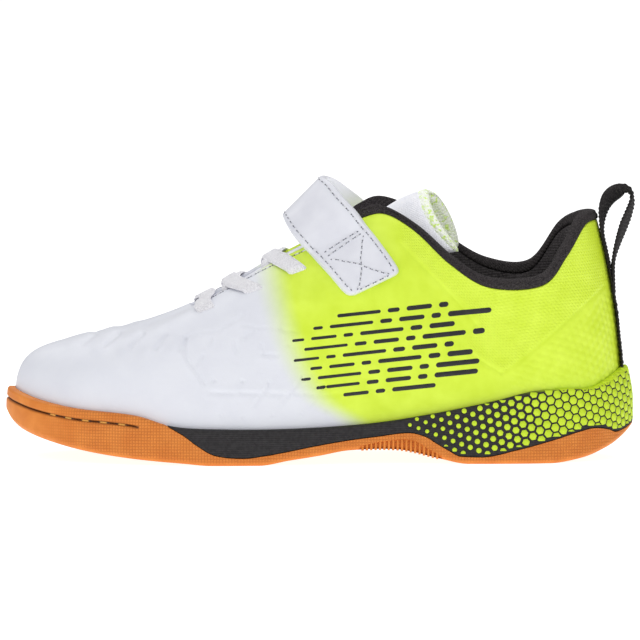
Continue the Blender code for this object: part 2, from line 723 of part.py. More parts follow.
def main():
    clear_scene()
    shoe = bpy.data.objects.new("shoe", None)
    bpy.context.scene.collection.objects.link(shoe)
    make_sole(shoe)
    upper = make_upper(shoe)
    make_cuff(shoe)
    make_tongue(shoe)
    make_insole(shoe)
    make_strap(shoe, upper)
    make_laces(shoe)
    make_pull_loop(shoe, upper)


main()
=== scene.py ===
"""Looks of the indoor court shoe for the left foot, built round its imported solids.

The toe points to -X, the outer side of the foot is at -Y and +Z is up.  Sizes of the shoe and the
camera are in millimetres until they become objects; floor and lamps are in metres.
"""
import json
import math
from collections import namedtuple

import bmesh
import bpy
import numpy as np
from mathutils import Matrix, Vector
from mathutils.bvhtree import BVHTree

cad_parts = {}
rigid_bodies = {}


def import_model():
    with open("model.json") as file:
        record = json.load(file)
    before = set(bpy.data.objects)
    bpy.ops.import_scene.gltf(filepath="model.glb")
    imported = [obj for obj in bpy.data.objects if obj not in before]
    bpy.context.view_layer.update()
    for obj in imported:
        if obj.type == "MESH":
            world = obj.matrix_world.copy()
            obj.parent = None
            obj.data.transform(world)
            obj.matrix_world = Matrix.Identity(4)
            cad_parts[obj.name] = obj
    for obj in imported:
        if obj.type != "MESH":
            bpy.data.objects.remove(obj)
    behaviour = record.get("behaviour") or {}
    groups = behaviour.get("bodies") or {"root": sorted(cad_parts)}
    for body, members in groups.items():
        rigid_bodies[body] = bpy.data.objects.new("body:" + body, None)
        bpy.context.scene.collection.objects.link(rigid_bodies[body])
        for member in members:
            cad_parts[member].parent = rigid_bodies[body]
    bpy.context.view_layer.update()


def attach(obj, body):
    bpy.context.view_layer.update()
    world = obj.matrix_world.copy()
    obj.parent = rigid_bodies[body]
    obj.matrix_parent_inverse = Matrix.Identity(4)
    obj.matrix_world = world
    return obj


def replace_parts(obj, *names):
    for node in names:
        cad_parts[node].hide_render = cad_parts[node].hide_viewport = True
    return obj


MM = 0.001

# Sizes of the solids
WALL = 1.8
GAP = 0.3
LIP = 2.9
INSOLE_THICK = 3.5
TONGUE_THICK = 3.6
STRAP_THICK = 1.9
LACE_WIDTH = 6.2
LACE_THICK = 1.1
LOOP_WIDTH = 10.0

# One row for each section round the shoe: widest edge of the sole, top of its lip, rim of throat
# or collar, and the curve of the wall between them (rise and lean at the sole, reach and slope
# at the rim)
Row = namedtuple("Row", "sole_x sole_y lip_z edge_x edge_y edge_z rise lean reach slope")
TOE = Row(-105.0, 5.0, 23.3, -43.5, 1.0, 51.5, 29, 4, 43, 24)
LATERAL = (
    Row(-102.2, -6.0, 22.2, -43.2, -2.0, 51.3, 28, 4, 41, 24),
    Row(-94.5, -17.5, 20.2, -42.3, -4.6, 51.2, 27, 3, 38, 25),
    Row(-82.0, -27.8, 18.3, -40.5, -6.6, 51.8, 25, 4, 32, 24),
    Row(-62.5, -35.2, 16.6, -36.0, -7.9, 54.2, 25, 4, 26, 22),
    Row(-48.0, -37.4, 12.9, -28.0, -8.8, 58.8, 27, 3, 24, 26),
    Row(-30.0, -37.9, 12.1, -17.5, -9.8, 65.0, 30, 2, 24, 32),
    Row(-12.0, -36.0, 12.1, -5.0, -10.8, 71.3, 32, 1, 24, 38),
    Row(6.0, -33.3, 12.8, 6.0, -11.6, 77.0, 33, 0, 24, 44),
    Row(22.0, -31.3, 14.2, 14.0, -12.3, 80.9, 33, 0, 25, 49),
    Row(36.0, -30.2, 16.4, 22.0, -14.5, 82.4, 32, 1, 26, 56),
    Row(48.0, -29.9, 18.7, 32.0, -18.2, 76.8, 28, 2, 24, 67),
    Row(60.0, -29.6, 21.2, 44.0, -22.5, 65.8, 22, 3, 18, 78),
    Row(72.0, -28.4, 24.0, 57.0, -24.2, 58.4, 19, 5, 14, 80),
    Row(83.0, -25.4, 24.9, 74.5, -22.4, 59.0, 19, 5, 14, 80),
    Row(92.5, -20.0, 24.9, 82.8, -17.9, 68.6, 20, 3, 17, 79),
    Row(100.5, -11.5, 28.4, 88.8, -10.8, 78.2, 23, 0, 20, 77),
)
HEEL = Row(105.0, 0.0, 31.0, 93.0, 0.0, 79.7, 24, -2, 22, 75)
MEDIAL = (
    Row(-103.0, 14.4, 22.4, -43.2, 3.8, 51.4, 28, 4, 41, 24),
    Row(-96.0, 24.2, 20.6, -42.3, 6.4, 51.3, 27, 3, 38, 25),
    Row(-84.0, 31.7, 18.5, -40.5, 8.4, 52.0, 25, 4, 32, 24),
    Row(-64.5, 37.0, 16.8, -36.0, 9.5, 54.4, 25, 4, 26, 22),
    Row(-50.0, 37.9, 13.2, -28.0, 10.3, 59.0, 27, 3, 24, 26),
    Row(-32.0, 36.0, 12.2, -17.5, 11.0, 65.2, 30, 2, 24, 32),
    Row(-14.0, 31.7, 12.1, -5.0, 11.6, 71.5, 32, 2, 24, 38),
    Row(4.0, 28.0, 12.8, 6.0, 12.0, 77.2, 33, 3, 24, 44),
    Row(20.0, 26.3, 14.2, 14.0, 12.5, 81.5, 33, 3, 25, 50),
    Row(34.0, 26.2, 16.4, 22.0, 14.6, 83.6, 32, 3, 26, 57),
    Row(47.0, 27.0, 18.7, 32.0, 18.2, 79.0, 28, 3, 24, 68),
    Row(60.0, 28.0, 21.2, 44.0, 22.5, 68.8, 22, 3, 18, 79),
    Row(72.0, 27.7, 24.0, 57.0, 24.2, 61.6, 19, 5, 14, 81),
    Row(83.0, 25.0, 24.9, 71.5, 22.9, 61.0, 19, 5, 14, 81),
    Row(92.5, 19.8, 24.9, 82.0, 18.4, 73.9, 20, 3, 17, 79),
    Row(100.5, 11.4, 28.4, 88.8, 10.8, 78.4, 23, 0, 20, 77),
)
ROWS = (TOE,) + LATERAL + (HEEL,) + tuple(reversed(MEDIAL))
TURN = len(ROWS)
HEEL_ROW = TURN / 2

# Heights along the shoe, as (x, z): underside, cup floor, line between the rubbers, tops of the arch ribs
UNDERSIDE = (
    (-106, 17.0), (-103.8, 14.5), (-102, 12.0), (-99, 10.0), (-90, 7.0), (-76, 4.0), (-66, 2.6),
    (-55, 1.5), (-45, 0.7), (-36, 0.0), (-20, 0.0), (-10, 1.6), (0, 3.1), (10, 4.8), (20, 5.2), (26, 5.0),
    (31, 4.2), (39.5, 2.0), (50, 0.0), (77, 0.0), (87.5, 1.5), (96, 4.6), (101.5, 8.0),
    (104.3, 10.8), (106, 13.0),
)
CUP_FLOOR = (
    (-104, 17.5), (-95, 14.0), (-80, 11.0), (-60, 8.3), (-40, 7.0), (-20, 7.0), (0, 8.6),
    (20, 11.2), (30, 12.6), (45, 13.6), (70, 14.5), (105, 15.5),
)
GUM_LINE = (
    (-60, 20.0), (-54, 15.0), (-50, 12.9), (-45, 10.0), (-40.8, 6.9), (-34.8, 3.6), (-30, 2.8),
    (-25, 2.6), (-18, 3.4), (0, 6.7), (10.6, 8.4), (19, 9.4), (30, 10.6), (35.4, 9.3), (38.8, 7.2),
    (43.2, 4.6), (47, 2.7), (54, 2.4), (66, 4.7), (79, 8.1), (87.5, 10.6), (92, 11.4),
    (96.3, 10.8), (99.3, 9.6), (102, 10.3), (107, 13.5),
)
RIB_TOPS = ((13, 5.9), (17, 7.0), (22, 7.9), (28, 8.4), (31, 8.1), (36, 5.4), (40, 3.2))


# Interpolation, for numbers and arrays alike

def catmull(before, start, end, after, part):
    """Smooth value between start and end, with its slope taken from the neighbours."""
    linear = end - before
    square = 2 * before - 5 * start + 4 * end - after
    cube = 3 * start - before - 3 * end + after
    return start + 0.5 * part * (linear + part * (square + part * cube))


def blend(rows, where, closed):
    """Rows read smoothly between the rows of a table."""
    table = np.asarray(rows, float)
    where = np.asarray(where, float)
    low = np.floor(where).astype(int)
    part = (where - low)[..., None]
    picks = []
    for shift in (-1, 0, 1, 2):
        index = (low + shift) % len(table) if closed else np.clip(low + shift, 0, len(table) - 1)
        picks.append(table[index])
    return catmull(*picks, part)


def profile(table, x):
    """Values at x from an (x, value) table, on a curve that never overshoots its points."""
    knots, values = np.asarray(table, float).T
    spans = np.diff(knots)
    steps = np.diff(values) / spans
    before, after = steps[:-1], steps[1:]
    same = before * after > 0
    middle = np.where(same, 2 * before * after / np.where(same, before + after, 1.0), 0.0)
    slopes = np.concatenate([steps[:1], middle, steps[-1:]])
    x = np.clip(x, knots[0], knots[-1])
    index = np.clip(np.searchsorted(knots, x, side="right") - 1, 0, len(spans) - 1)
    t = (x - knots[index]) / spans[index]
    ends = values[index] * (1 + 2 * t) * (1 - t) ** 2 + values[index + 1] * t * t * (3 - 2 * t)
    bends = slopes[index] * t * (1 - t) ** 2 - slopes[index + 1] * t * t * (1 - t)
    return ends + spans[index] * bends


def ease(start, end, value):
    """0 before start, 1 after end, smooth between them."""
    part = np.clip((value - start) / (end - start), 0.0, 1.0)
    return part * part * (3 - 2 * part)


def hump(value, width):
    """1 at zero, falling softly to nothing beyond the width."""
    return np.exp(-(value / width) ** 2)


def smooth_line(points, steps):
    """Points of a broken line with its corners rounded."""
    places = np.linspace(0, len(points) - 1, (len(points) - 1) * steps + 1)
    return blend(points, places, False)


def vector(*parts):
    """Points from their coordinates, each a number or an array."""
    return np.stack(np.broadcast_arrays(*parts), axis=-1).astype(float)


def unit(vectors):
    return vectors / np.linalg.norm(vectors, axis=-1, keepdims=True)


def halved(low, high, is_below):
    """Place between low and high up to which is_below holds, found by halving."""
    for _ in range(HALVINGS):
        middle = (low + high) / 2
        below = is_below(middle)
        low, high = np.where(below, middle, low), np.where(below, high, middle)
    return low


# The last: outline, wall and rim

UP = np.array((0.0, 0.0, 1.0))
ROW_STEP = 0.05
LEVEL_STEP = 0.01
LIP_LEVEL_LIMIT = 0.6
HALVINGS = 30


def section(where):
    """Row of the table at any place round the shoe."""
    return Row(*np.moveaxis(blend(ROWS, where, True), -1, 0))


def outline(where):
    """Widest edge of the sole in plan, and its outward direction."""
    row = section(where)
    ahead, behind = section(where + ROW_STEP), section(where - ROW_STEP)
    outward = vector(ahead.sole_y - behind.sole_y, behind.sole_x - ahead.sole_x, 0.0)
    return vector(row.sole_x, row.sole_y, 0.0), unit(outward)


def wall(where, level):
    """Outer face of the upper: level 0 stands in the cup of the sole, level 1 is the rim."""
    where, level = np.broadcast_arrays(np.asarray(where, float), np.asarray(level, float))
    row = section(where)
    edge, outward = outline(where)
    foot = edge - outward * (LIP + GAP)
    foot[..., 2] = profile(CUP_FLOOR, foot[..., 0]) + GAP
    rim = vector(row.edge_x, row.edge_y, row.edge_z)
    lean, slope = np.radians(row.lean)[..., None], np.radians(row.slope)[..., None]
    foot_pull = foot + (outward * np.sin(lean) + UP * np.cos(lean)) * row.rise[..., None]
    away = unit((foot - rim) * (1, 1, 0))
    rim_pull = rim + (away * np.cos(slope) - UP * np.sin(slope)) * row.reach[..., None]
    level = level[..., None]
    rest = 1 - level
    return (foot * rest ** 3 + foot_pull * 3 * rest ** 2 * level
            + rim_pull * 3 * rest * level ** 2 + rim * level ** 3)


def wall_frame(where, level):
    """Directions up along the wall and out of it."""
    up = unit(wall(where, level) - wall(where, level - LEVEL_STEP))
    along = wall(where + LEVEL_STEP, level) - wall(where - LEVEL_STEP, level)
    return up, unit(np.cross(along, up))


def lip_level(where):
    """Level at which the wall leaves the cup of the sole."""
    lip = section(where).lip_z
    highest = np.full_like(where, LIP_LEVEL_LIMIT)
    return halved(np.zeros_like(where), highest, lambda level: wall(where, level)[..., 2] < lip)


def place_at(x, side):
    """Place round the sole with this distance along the shoe, on the outer (-1) or inner side."""
    front = 0.0 if side < 0 else float(TURN)
    return float(halved(front, HEEL_ROW, lambda place: section(place).sole_x < x))


def places_round(steps_per_row):
    return np.arange(TURN * steps_per_row) / steps_per_row


def turns_round(count):
    """Even angles round a circle."""
    return np.arange(count) * 2 * math.pi / count


def sweep(centres, first, second, along_first, along_second):
    """Rings of points round a row of centres, from how far each lies along two directions."""
    return (centres[:, None] + first[..., None, :] * along_first[..., None]
            + second[..., None, :] * along_second[..., None])


# Meshes

def new_object(name, data):
    thing = bpy.data.objects.new(name, data)
    bpy.context.scene.collection.objects.link(thing)
    return thing


class Shape:
    """Grids and faces collected into one mesh, with coordinates along the surface in millimetres."""

    def __init__(self):
        self.points, self.faces, self.flat, self.finishes, self.count = [], [], [], [], 0

    def add(self, points, faces, flat=None, finish=0):
        points = np.asarray(points, float).reshape(-1, 3)
        flat = np.zeros((len(points), 2)) if flat is None else np.asarray(flat, float).reshape(-1, 2)
        self.points.append(points)
        self.flat.append(flat)
        self.faces += [tuple(self.count + corner for corner in face) for face in faces]
        self.finishes += [finish] * len(faces)
        self.count += len(points)

    def grid(self, points, flat=None, closed=False, finish=0):
        rows, columns = np.shape(points)[:2]
        self.add(points, grid_faces(rows, columns, closed), flat, finish)

    def tube(self, rings, flat=None, closed=True, finish=0):
        """Rings of points joined in a row, with a face over each end."""
        self.grid(rings, flat, closed, finish)
        for ring in (rings[0], rings[-1]):
            self.add(ring, [tuple(range(len(ring)))], finish=finish)

    def make(self, name, slot, finishes, merge=0.0, sharp=50.0):
        """Object that rides on the shoe; points nearer than merge become one."""
        mesh = bpy.data.meshes.new(name)
        mesh.from_pydata((np.concatenate(self.points) * MM).tolist(), [], self.faces)
        for finish in finishes:
            mesh.materials.append(finish)
        mesh.polygons.foreach_set("material_index", self.finishes)
        corners = np.empty(len(mesh.loops), int)
        mesh.loops.foreach_get("vertex_index", corners)
        layer = mesh.uv_layers.new(name="along_surface")
        layer.data.foreach_set("uv", np.concatenate(self.flat)[corners].ravel())
        tidy_mesh(mesh, merge)
        mesh.shade_smooth()
        mesh.set_sharp_from_angle(angle=math.radians(sharp))
        thing = new_object(name, mesh)
        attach(thing, "root")
        return thing


def grid_faces(rows, columns, closed):
    """Quads between neighbouring rows of a grid of points."""
    across = np.arange(columns if closed else columns - 1)
    beside = (across + 1) % columns
    start = np.arange(rows - 1)[:, None] * columns
    corners = (start + across, start + beside, start + columns + beside, start + columns + across)
    return np.stack(corners, -1).reshape(-1, 4).tolist()


def tidy_mesh(mesh, merge):
    """Join the seams between grids and turn all faces outwards."""
    work = bmesh.new()
    work.from_mesh(mesh)
    if merge:
        bmesh.ops.remove_doubles(work, verts=work.verts, dist=merge * MM)
    bmesh.ops.recalc_face_normals(work, faces=work.faces)
    work.to_mesh(mesh)
    work.free()


def places_of(thing):
    """Points of an object's mesh, in millimetres."""
    return np.array([point.co for point in thing.data.vertices]) / MM


def add_mask(thing, name, values):
    """A number from 0 to 1 on each point, for the material to read."""
    layer = thing.data.attributes.new(name, "FLOAT", "POINT")
    layer.data.foreach_set("value", np.asarray(values, np.float32).ravel())


def run_length(points):
    """Distance along a row of points from its first one."""
    steps = np.linalg.norm(np.diff(points, axis=0), axis=-1)
    return np.concatenate([np.zeros((1,) + steps.shape[1:]), np.cumsum(steps, axis=0)])


# Finishes

def linear(red, green, blue):
    """Shader colour from the 0 to 255 values of a picture."""
    parts = np.array((red, green, blue)) / 255
    return (*np.where(parts <= 0.04045, parts / 12.92, ((parts + 0.055) / 1.055) ** 2.4).tolist(), 1.0)


class Finish:
    """One material, whose nodes are added in short calls."""

    def __init__(self, name, colour, roughness):
        self.material = bpy.data.materials.new(name)
        self.material.use_nodes = True
        self.nodes = self.material.node_tree.nodes
        self.links = self.material.node_tree.links
        self.shader = self.nodes["Principled BSDF"]
        self.relief = None
        self.surface({"Base Color": linear(*colour), "Roughness": roughness})

    def put(self, node, sockets):
        for key, value in sockets.items():
            if isinstance(value, bpy.types.NodeSocket):
                self.links.new(value, node.inputs[key])
            else:
                node.inputs[key].default_value = value

    def surface(self, sockets):
        self.put(self.shader, sockets)

    def node(self, kind, sockets, output=0, **settings):
        made = self.nodes.new(kind)
        for key, value in settings.items():
            setattr(made, key, value)
        self.put(made, sockets)
        return made.outputs[output]

    def calc(self, operation, first, second=0.0):
        return self.node("ShaderNodeMath", {0: first, 1: second}, operation=operation)

    def mix(self, share, first, second):
        return self.node("ShaderNodeMix", {0: share, 6: first, 7: second}, output=2, data_type="RGBA")

    def between(self, value, low, high):
        """The value's place between low and high, held to 0 and 1."""
        return self.node("ShaderNodeMapRange", {"Value": value, "From Min": low, "From Max": high})

    def mask(self, name):
        return self.node("ShaderNodeAttribute", {}, output=2, attribute_name=name)

    def along(self):
        """Coordinates along the surface, in millimetres."""
        flat = self.node("ShaderNodeUVMap", {}, uv_map="along_surface")
        split = self.nodes.new("ShaderNodeSeparateXYZ")
        self.put(split, {0: flat})
        return split.outputs[0], split.outputs[1]

    def noise(self, size, detail=2.0):
        """Soft random grain of about this size in millimetres."""
        place = self.node("ShaderNodeTexCoord", {}, output=3)
        return self.node("ShaderNodeTexNoise", {"Vector": place, "Scale": 1 / (size * MM), "Detail": detail})

    def pebbles(self, size):
        """Leather cells of about this size in millimetres."""
        place = self.node("ShaderNodeTexCoord", {}, output=3)
        return self.node("ShaderNodeTexVoronoi", {"Vector": place, "Scale": 1 / (size * MM)})

    def wave(self, coordinate, pitch):
        return self.calc("COSINE", self.calc("MULTIPLY", coordinate, 2 * math.pi / pitch))

    def slanted(self, angle):
        """Coordinate along the surface in a direction turned by an angle in degrees."""
        u, v = self.along()
        across = self.calc("MULTIPLY", u, math.cos(math.radians(angle)))
        return self.calc("ADD", across, self.calc("MULTIPLY", v, math.sin(math.radians(angle))))

    def weave(self, pitch, angles):
        """Crossing waves, one for each angle, as a height round zero."""
        waves = [self.wave(self.slanted(angle), pitch) for angle in angles]
        total = waves[0]
        for wave in waves[1:]:
            total = self.calc("ADD", total, wave)
        return total

    def bump(self, height, depth):
        """Relief of this depth in millimetres, on top of the relief before it."""
        sockets = {"Height": height, "Distance": depth * MM, "Strength": 1.0}
        if self.relief:
            sockets["Normal"] = self.relief
        self.relief = self.node("ShaderNodeBump", sockets)
        self.surface({"Normal": self.relief})

    def mottled(self, colours, size, spread):
        """Two near colours mixed by soft grain of this size, between two values of the grain."""
        first, second = (linear(*colour) for colour in colours)
        return self.mix(self.between(self.noise(size), *spread), first, second)


# Colours as in a picture, most of them in pairs of near ones; spreads of the grain between them
WHITES = ((231, 233, 241), (227, 229, 238))
YELLOWS = ((224, 250, 70), (213, 240, 50))
GUMS = ((232, 142, 60), (221, 129, 50))
# painted shade for the recessed lines of the gum's square mesh
GUM_GROOVE_SHADE = (176, 90, 28)
# painted shade in the slit of the toe bumper, also at the ends of the gold stitches in it
GUM_SLIT_SHADE = (36, 13, 3)
BLACKS = ((35, 33, 35), (48, 46, 48))
CELLS = ((206, 234, 36), (196, 226, 28))
LINING = ((62, 58, 60), (88, 83, 85))
WHITE_THREAD = (238, 239, 245)
GOLD_THREAD = (240, 176, 78)
# painted shade where the white thread dips into its needle holes
NEEDLE_HOLE_SHADE = (104, 106, 118)
THREAD_SHADE = 0.86
GUM_MESH = 1.0
GUM_MESH_SPAN = (-0.3, -1.0)
# share of painted shade in the recessed lines of the gum mesh
GUM_MESH_SHADE = 0.6
SOFT, WIDE, SPOTTED = (0.35, 0.65), (0.3, 0.7), (0.52, 0.66)
DULL = 0.3

# Plain finishes: two colours and their grain, then reliefs as kind, sizes and depth; a few add painted
# light, a soft emission that lifts faces lying in shade
Plain = namedtuple("Plain", "roughness colours grain reliefs spread specular glow_colour glow",
                   defaults=(SOFT, 0.5, (255, 255, 255), 0.0))
PLAIN_FINISHES = {
    "cell_paint": Plain(0.5, CELLS, 3.0, [(Finish.noise, (0.4, 3.0), 0.03)]),
    "print_film": Plain(0.38, ((26, 25, 28), (36, 35, 38)), 2.0, [(Finish.pebbles, (0.55,), 0.02)]),
    "black_knit": Plain(0.9, ((46, 43, 44), (74, 69, 70)), 0.5, [(Finish.weave, (0.75, (0, 55)), 0.1)],
                        specular=0.2),
    # painted light: the tongue's face glows a little against the shade the strap casts on it
    "white_textile": Plain(0.8, ((238, 238, 243), (229, 230, 237)), 3.0,
                           [(Finish.weave, (0.8, (45, 135)), 0.03)],
                           glow_colour=(236, 236, 243), glow=0.14),
    # painted light: the tongue's mesh lining and roll glow against the shade inside the tongue
    "tongue_mesh": Plain(0.85, ((242, 243, 240), (196, 232, 70)), 1.3,
                         [(Finish.weave, (1.3, (0, 60, 120)), 0.05)],
                         spread=SPOTTED, glow_colour=(225, 240, 190), glow=0.2),
    "insole_textile": Plain(0.95, ((52, 51, 54), (68, 67, 70)), 1.0,
                            [(Finish.weave, (1.0, (45, 135)), 0.1)]),
    "white_synthetic": Plain(0.36, ((231, 232, 240), (224, 225, 234)), 8.0,
                             [(Finish.pebbles, (0.5,), 0.025), (Finish.noise, (3.0, 2.0), 0.08)]),
    # painted light: the strap's underside glows against the shade under the strap
    "strap_loops": Plain(0.95, ((241, 241, 246), (231, 231, 238)), 0.8, [(Finish.noise, (0.5, 4.0), 0.08)],
                         glow_colour=(240, 240, 246), glow=0.22),
    "white_lace": Plain(0.75, ((246, 245, 249), (236, 235, 240)), 0.7,
                        [(Finish.weave, (0.85, (40, 140)), 0.07)]),
    "black_webbing": Plain(0.85, ((38, 36, 37), (58, 55, 56)), 0.6, [(Finish.weave, (0.7, (35, 145)), 0.08)],
                           specular=0.2),
}


def plain_finish(name):
    row = PLAIN_FINISHES[name]
    finish = Finish(name, row.colours[0], row.roughness)
    finish.surface({
        "Base Color": finish.mottled(row.colours, row.grain, row.spread),
        "Specular IOR Level": row.specular,
        # painted light: an emission that brightens shaded faces, zero for most finishes
        "Emission Color": linear(*row.glow_colour),
        "Emission Strength": row.glow,
    })
    for relief, sizes, depth in row.reliefs:
        finish.bump(relief(finish, *sizes), depth)
    return finish.material


def gum_finish():
    """Rubber with a square mesh on its side, painted shade in the mesh's recessed lines, and painted shade
    in the slit round the toe.
    """
    finish = Finish("gum_rubber", GUMS[0], roughness=0.55)
    u, v = finish.along()
    mesh = finish.calc("MINIMUM", finish.wave(u, GUM_MESH), finish.wave(v, GUM_MESH))
    meshed = finish.mask("meshed")
    # painted shade: the recessed lines of the mesh are darkened
    grooves = finish.calc("MULTIPLY", finish.between(mesh, *GUM_MESH_SPAN), meshed)
    tone = finish.mottled(GUMS, size=6.0, spread=SOFT)
    tone = finish.mix(finish.calc("MULTIPLY", grooves, GUM_MESH_SHADE), tone, linear(*GUM_GROOVE_SHADE))
    # painted shade in the slit round the toe
    tone = finish.mix(finish.mask("slit"), tone, linear(*GUM_SLIT_SHADE))
    finish.surface({"Base Color": tone, "Specular IOR Level": DULL})
    finish.bump(finish.calc("MULTIPLY", mesh, meshed), depth=0.07)
    finish.bump(finish.noise(size=0.9, detail=4.0), depth=0.05)
    return finish.material


def foam_finish():
    """Black foam with fine level lines, painted along the lip of the heel."""
    finish = Finish("midsole_foam", BLACKS[0], roughness=0.6)
    foam = finish.mottled(BLACKS, size=1.2, spread=SOFT)
    tone = finish.mix(finish.mask("painted"), foam, linear(*CELLS[0]))
    finish.surface({"Base Color": tone, "Specular IOR Level": DULL})
    finish.bump(finish.weave(pitch=0.7, angles=(90,)), depth=0.05)
    finish.bump(finish.noise(size=0.5, detail=3.0), depth=0.06)
    return finish.material


# Sole: side, bumper groove, arch ribs and tread
GROOVE_DEPTH = 0.8
GROOVE_BELOW_LIP = 3.4
GROOVE_HALF = 0.4
GROOVE_END = -60.0
GROOVE_FADE = 1.5
SIDE_INSET = 1.3
SIDE_ROUNDING = 2.2
LIP_INSET = 0.6
LIP_ROUNDING = 0.8
LIP_CURVE = 1.5
SWELL_SHARE = 0.55
HEEL_LEAN = 1.26
HEEL_LEAN_SPAN = (88, 103)
RIB_FIRST = 14.5
RIB_LAST = 40.0
RIB_PITCH = 1.46
RIB_WIDTH = 0.72
RIB_DEPTH = 0.9
RIB_BELOW_EDGE = 0.35
RIB_ABOVE_SLOT = 0.3
RIB_SLOT_ENDS = (0.4, 1.2)
RIB_SLOT_TOP = (-0.3, 0.1)
RIB_SECTION = ((-1.0, -1.0), (-1.0, -0.25), (-0.6, 0.0), (0.6, 0.0), (1.0, -0.25), (1.0, -1.0))
RIB_INSETS = ((0.0, 0.675), (0.12, 0.165), (0.9, 0.1), (1.0, 0.55))
SOLE_STEPS = 24
SIDE_ROWS = 48
TREAD_COLUMNS = 96
TREAD_DEPTH = 0.8
TREAD_PITCH = 4.2
TREAD_ZIGZAG = 7.0
TREAD_SLANT = 0.8
TREAD_EDGES = (0.35, 0.75)
TREAD_MARGIN = (2.9, 3.9)
PLAIN_ARCH_FROM = (-4, 2)
PLAIN_ARCH_TO = (40, 46)
FLEX_GROOVES = (-60.0, -51.0, -17.0, -8.0)
FLEX_HALF = (0.6, 1.4)
FLEX_DEPTH = 1.0
FLEX_REACH = (24.0, 25.0)
MESH_ABOVE_EDGE = (0.5, 1.5)
MESH_FROM = (-98, -74)
GROOVE_ROWS = 5
GROOVE_STEPS = 239
MIDSOLE_ROW = 4
PAINTED_FROM = (66, 84)
PAINTED_BELOW_LIP = (0.4, 0.15)


def sole_foot(where):
    """Edge of the underside at a place round the sole."""
    edge, outward = outline(where)
    foot = edge - outward * SIDE_INSET
    foot[..., 2] = profile(UNDERSIDE, foot[..., 0])
    return foot


def rubber_line(x):
    """Height of the line between the two rubbers; the toe is all gum."""
    return np.where(x < GUM_LINE[0][0], np.inf, profile(GUM_LINE, x))


def rib_slot(x, z):
    """1 where the side of the sole is cut back behind the arch ribs, 0 elsewhere."""
    near, far = RIB_SLOT_ENDS
    along = ease(RIB_FIRST - far, RIB_FIRST - near, x) * (1 - ease(RIB_LAST + near, RIB_LAST + far, x))
    return along * (1 - ease(*RIB_SLOT_TOP, z - profile(RIB_TOPS, x)))


def side_point(where, z):
    """Point on the side of the sole at a height."""
    edge, outward = outline(where)
    x = edge[..., 0]
    lip = section(where).lip_z
    bottom = sole_foot(where)[..., 2]
    groove = lip - GROOVE_BELOW_LIP
    swell = bottom + SWELL_SHARE * (groove - bottom)
    lean = HEEL_LEAN * ease(*HEEL_LEAN_SPAN, x)
    grooved = 1 - ease(GROOVE_END - GROOVE_FADE, GROOVE_END, x)
    inset = SIDE_INSET * (1 - np.clip((z - bottom) / SIDE_ROUNDING, 0, 1)) ** 2
    inset += (LIP_INSET + lean) * np.clip((z - swell) / (lip - swell), 0, 1) ** LIP_CURVE
    inset += LIP_INSET * np.clip(1 - (lip - z) / LIP_ROUNDING, 0, 1) ** 2
    inset += GROOVE_DEPTH * grooved * hump(z - groove, GROOVE_HALF)
    inset += RIB_DEPTH * rib_slot(x, z)
    point = edge - outward * inset[..., None]
    point[..., 2] = z
    return point


def lip_inside(where):
    """Inner edge of the lip, just outside the upper."""
    point = wall(where, lip_level(where)) + outline(where)[1] * GAP
    point[..., 2] = section(where).lip_z
    return point


def across(ring, columns):
    """Grid from each point of a ring to its fellow on the other side of the shoe."""
    half = len(ring) // 2
    near = ring[:half + 1]
    far = ring[(-np.arange(half + 1)) % len(ring)]
    share = np.linspace(0, 1, columns)[None, :, None]
    return near[:, None] * (1 - share) + far[:, None] * share


def tread_height(x, y, from_edge):
    """How far the underside is cut in: herringbone inside a plain edge, and cross flex grooves."""
    zigzag = np.abs((y / TREAD_ZIGZAG) % 2 - 1) * TREAD_ZIGZAG
    wave = np.cos((x + TREAD_SLANT * zigzag) * 2 * math.pi / TREAD_PITCH)
    arch = ease(*PLAIN_ARCH_FROM, x) * (1 - ease(*PLAIN_ARCH_TO, x))
    cut = TREAD_DEPTH * ease(*TREAD_EDGES, wave) * ease(*TREAD_MARGIN, from_edge) * (1 - arch)
    reach = 1 - ease(*FLEX_REACH, np.abs(y))
    for groove in FLEX_GROOVES:
        cut = np.maximum(cut, FLEX_DEPTH * reach * (1 - ease(*FLEX_HALF, np.abs(x - groove))))
    return cut


def underside(where):
    grid = across(sole_foot(where), TREAD_COLUMNS)
    x, y = grid[..., 0], grid[..., 1]
    to_sides = np.minimum(np.abs(y - y[:, :1]), np.abs(y - y[:, -1:]))
    from_edge = np.minimum(to_sides, np.minimum(x - x.min(), x.max() - x))
    grid[..., 2] = profile(UNDERSIDE, x) + tread_height(x, y, from_edge)
    return grid


def sole_rows(where, bottom, top):
    """Rows of points up the side of the sole, over its lip and down into the cup."""
    z = bottom + np.linspace(0, 1, SIDE_ROWS)[:, None] * (top - bottom)
    side = side_point(np.broadcast_to(where, z.shape), z)
    inner = lip_inside(where)
    inner[:, 2] = top
    floor = wall(where, 0.0) + outline(where)[1] * GAP
    floor[:, 2] = np.minimum(floor[:, 2] - GAP, top)
    return np.concatenate([side, inner[None], floor[None]])


def make_outsole(finish):
    where = places_round(SOLE_STEPS)
    foot = sole_foot(where)
    top = np.minimum(rubber_line(outline(where)[0][:, 0]) - GAP / 2, section(where).lip_z)
    rows = sole_rows(where, foot[:, 2], top)
    run = run_length(np.concatenate([foot, foot[:1]]))[:-1]
    shape = Shape()
    shape.grid(rows, vector(run, rows[..., 2]), closed=True)
    shape.grid(underside(where))
    shape.grid(across(rows[-1], 3))
    sole = shape.make("gum_outsole", "gum_rubber", [finish], merge=0.004)
    places = places_of(sole)
    side_share = ease(*MESH_ABOVE_EDGE, places[:, 2] - profile(UNDERSIDE, places[:, 0]))
    add_mask(sole, "meshed", side_share * ease(*MESH_FROM, places[:, 0]))
    # mask for the painted shade in the slit of the toe bumper
    add_mask(sole, "slit", groove_share(places))
    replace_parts(sole, "outsole")


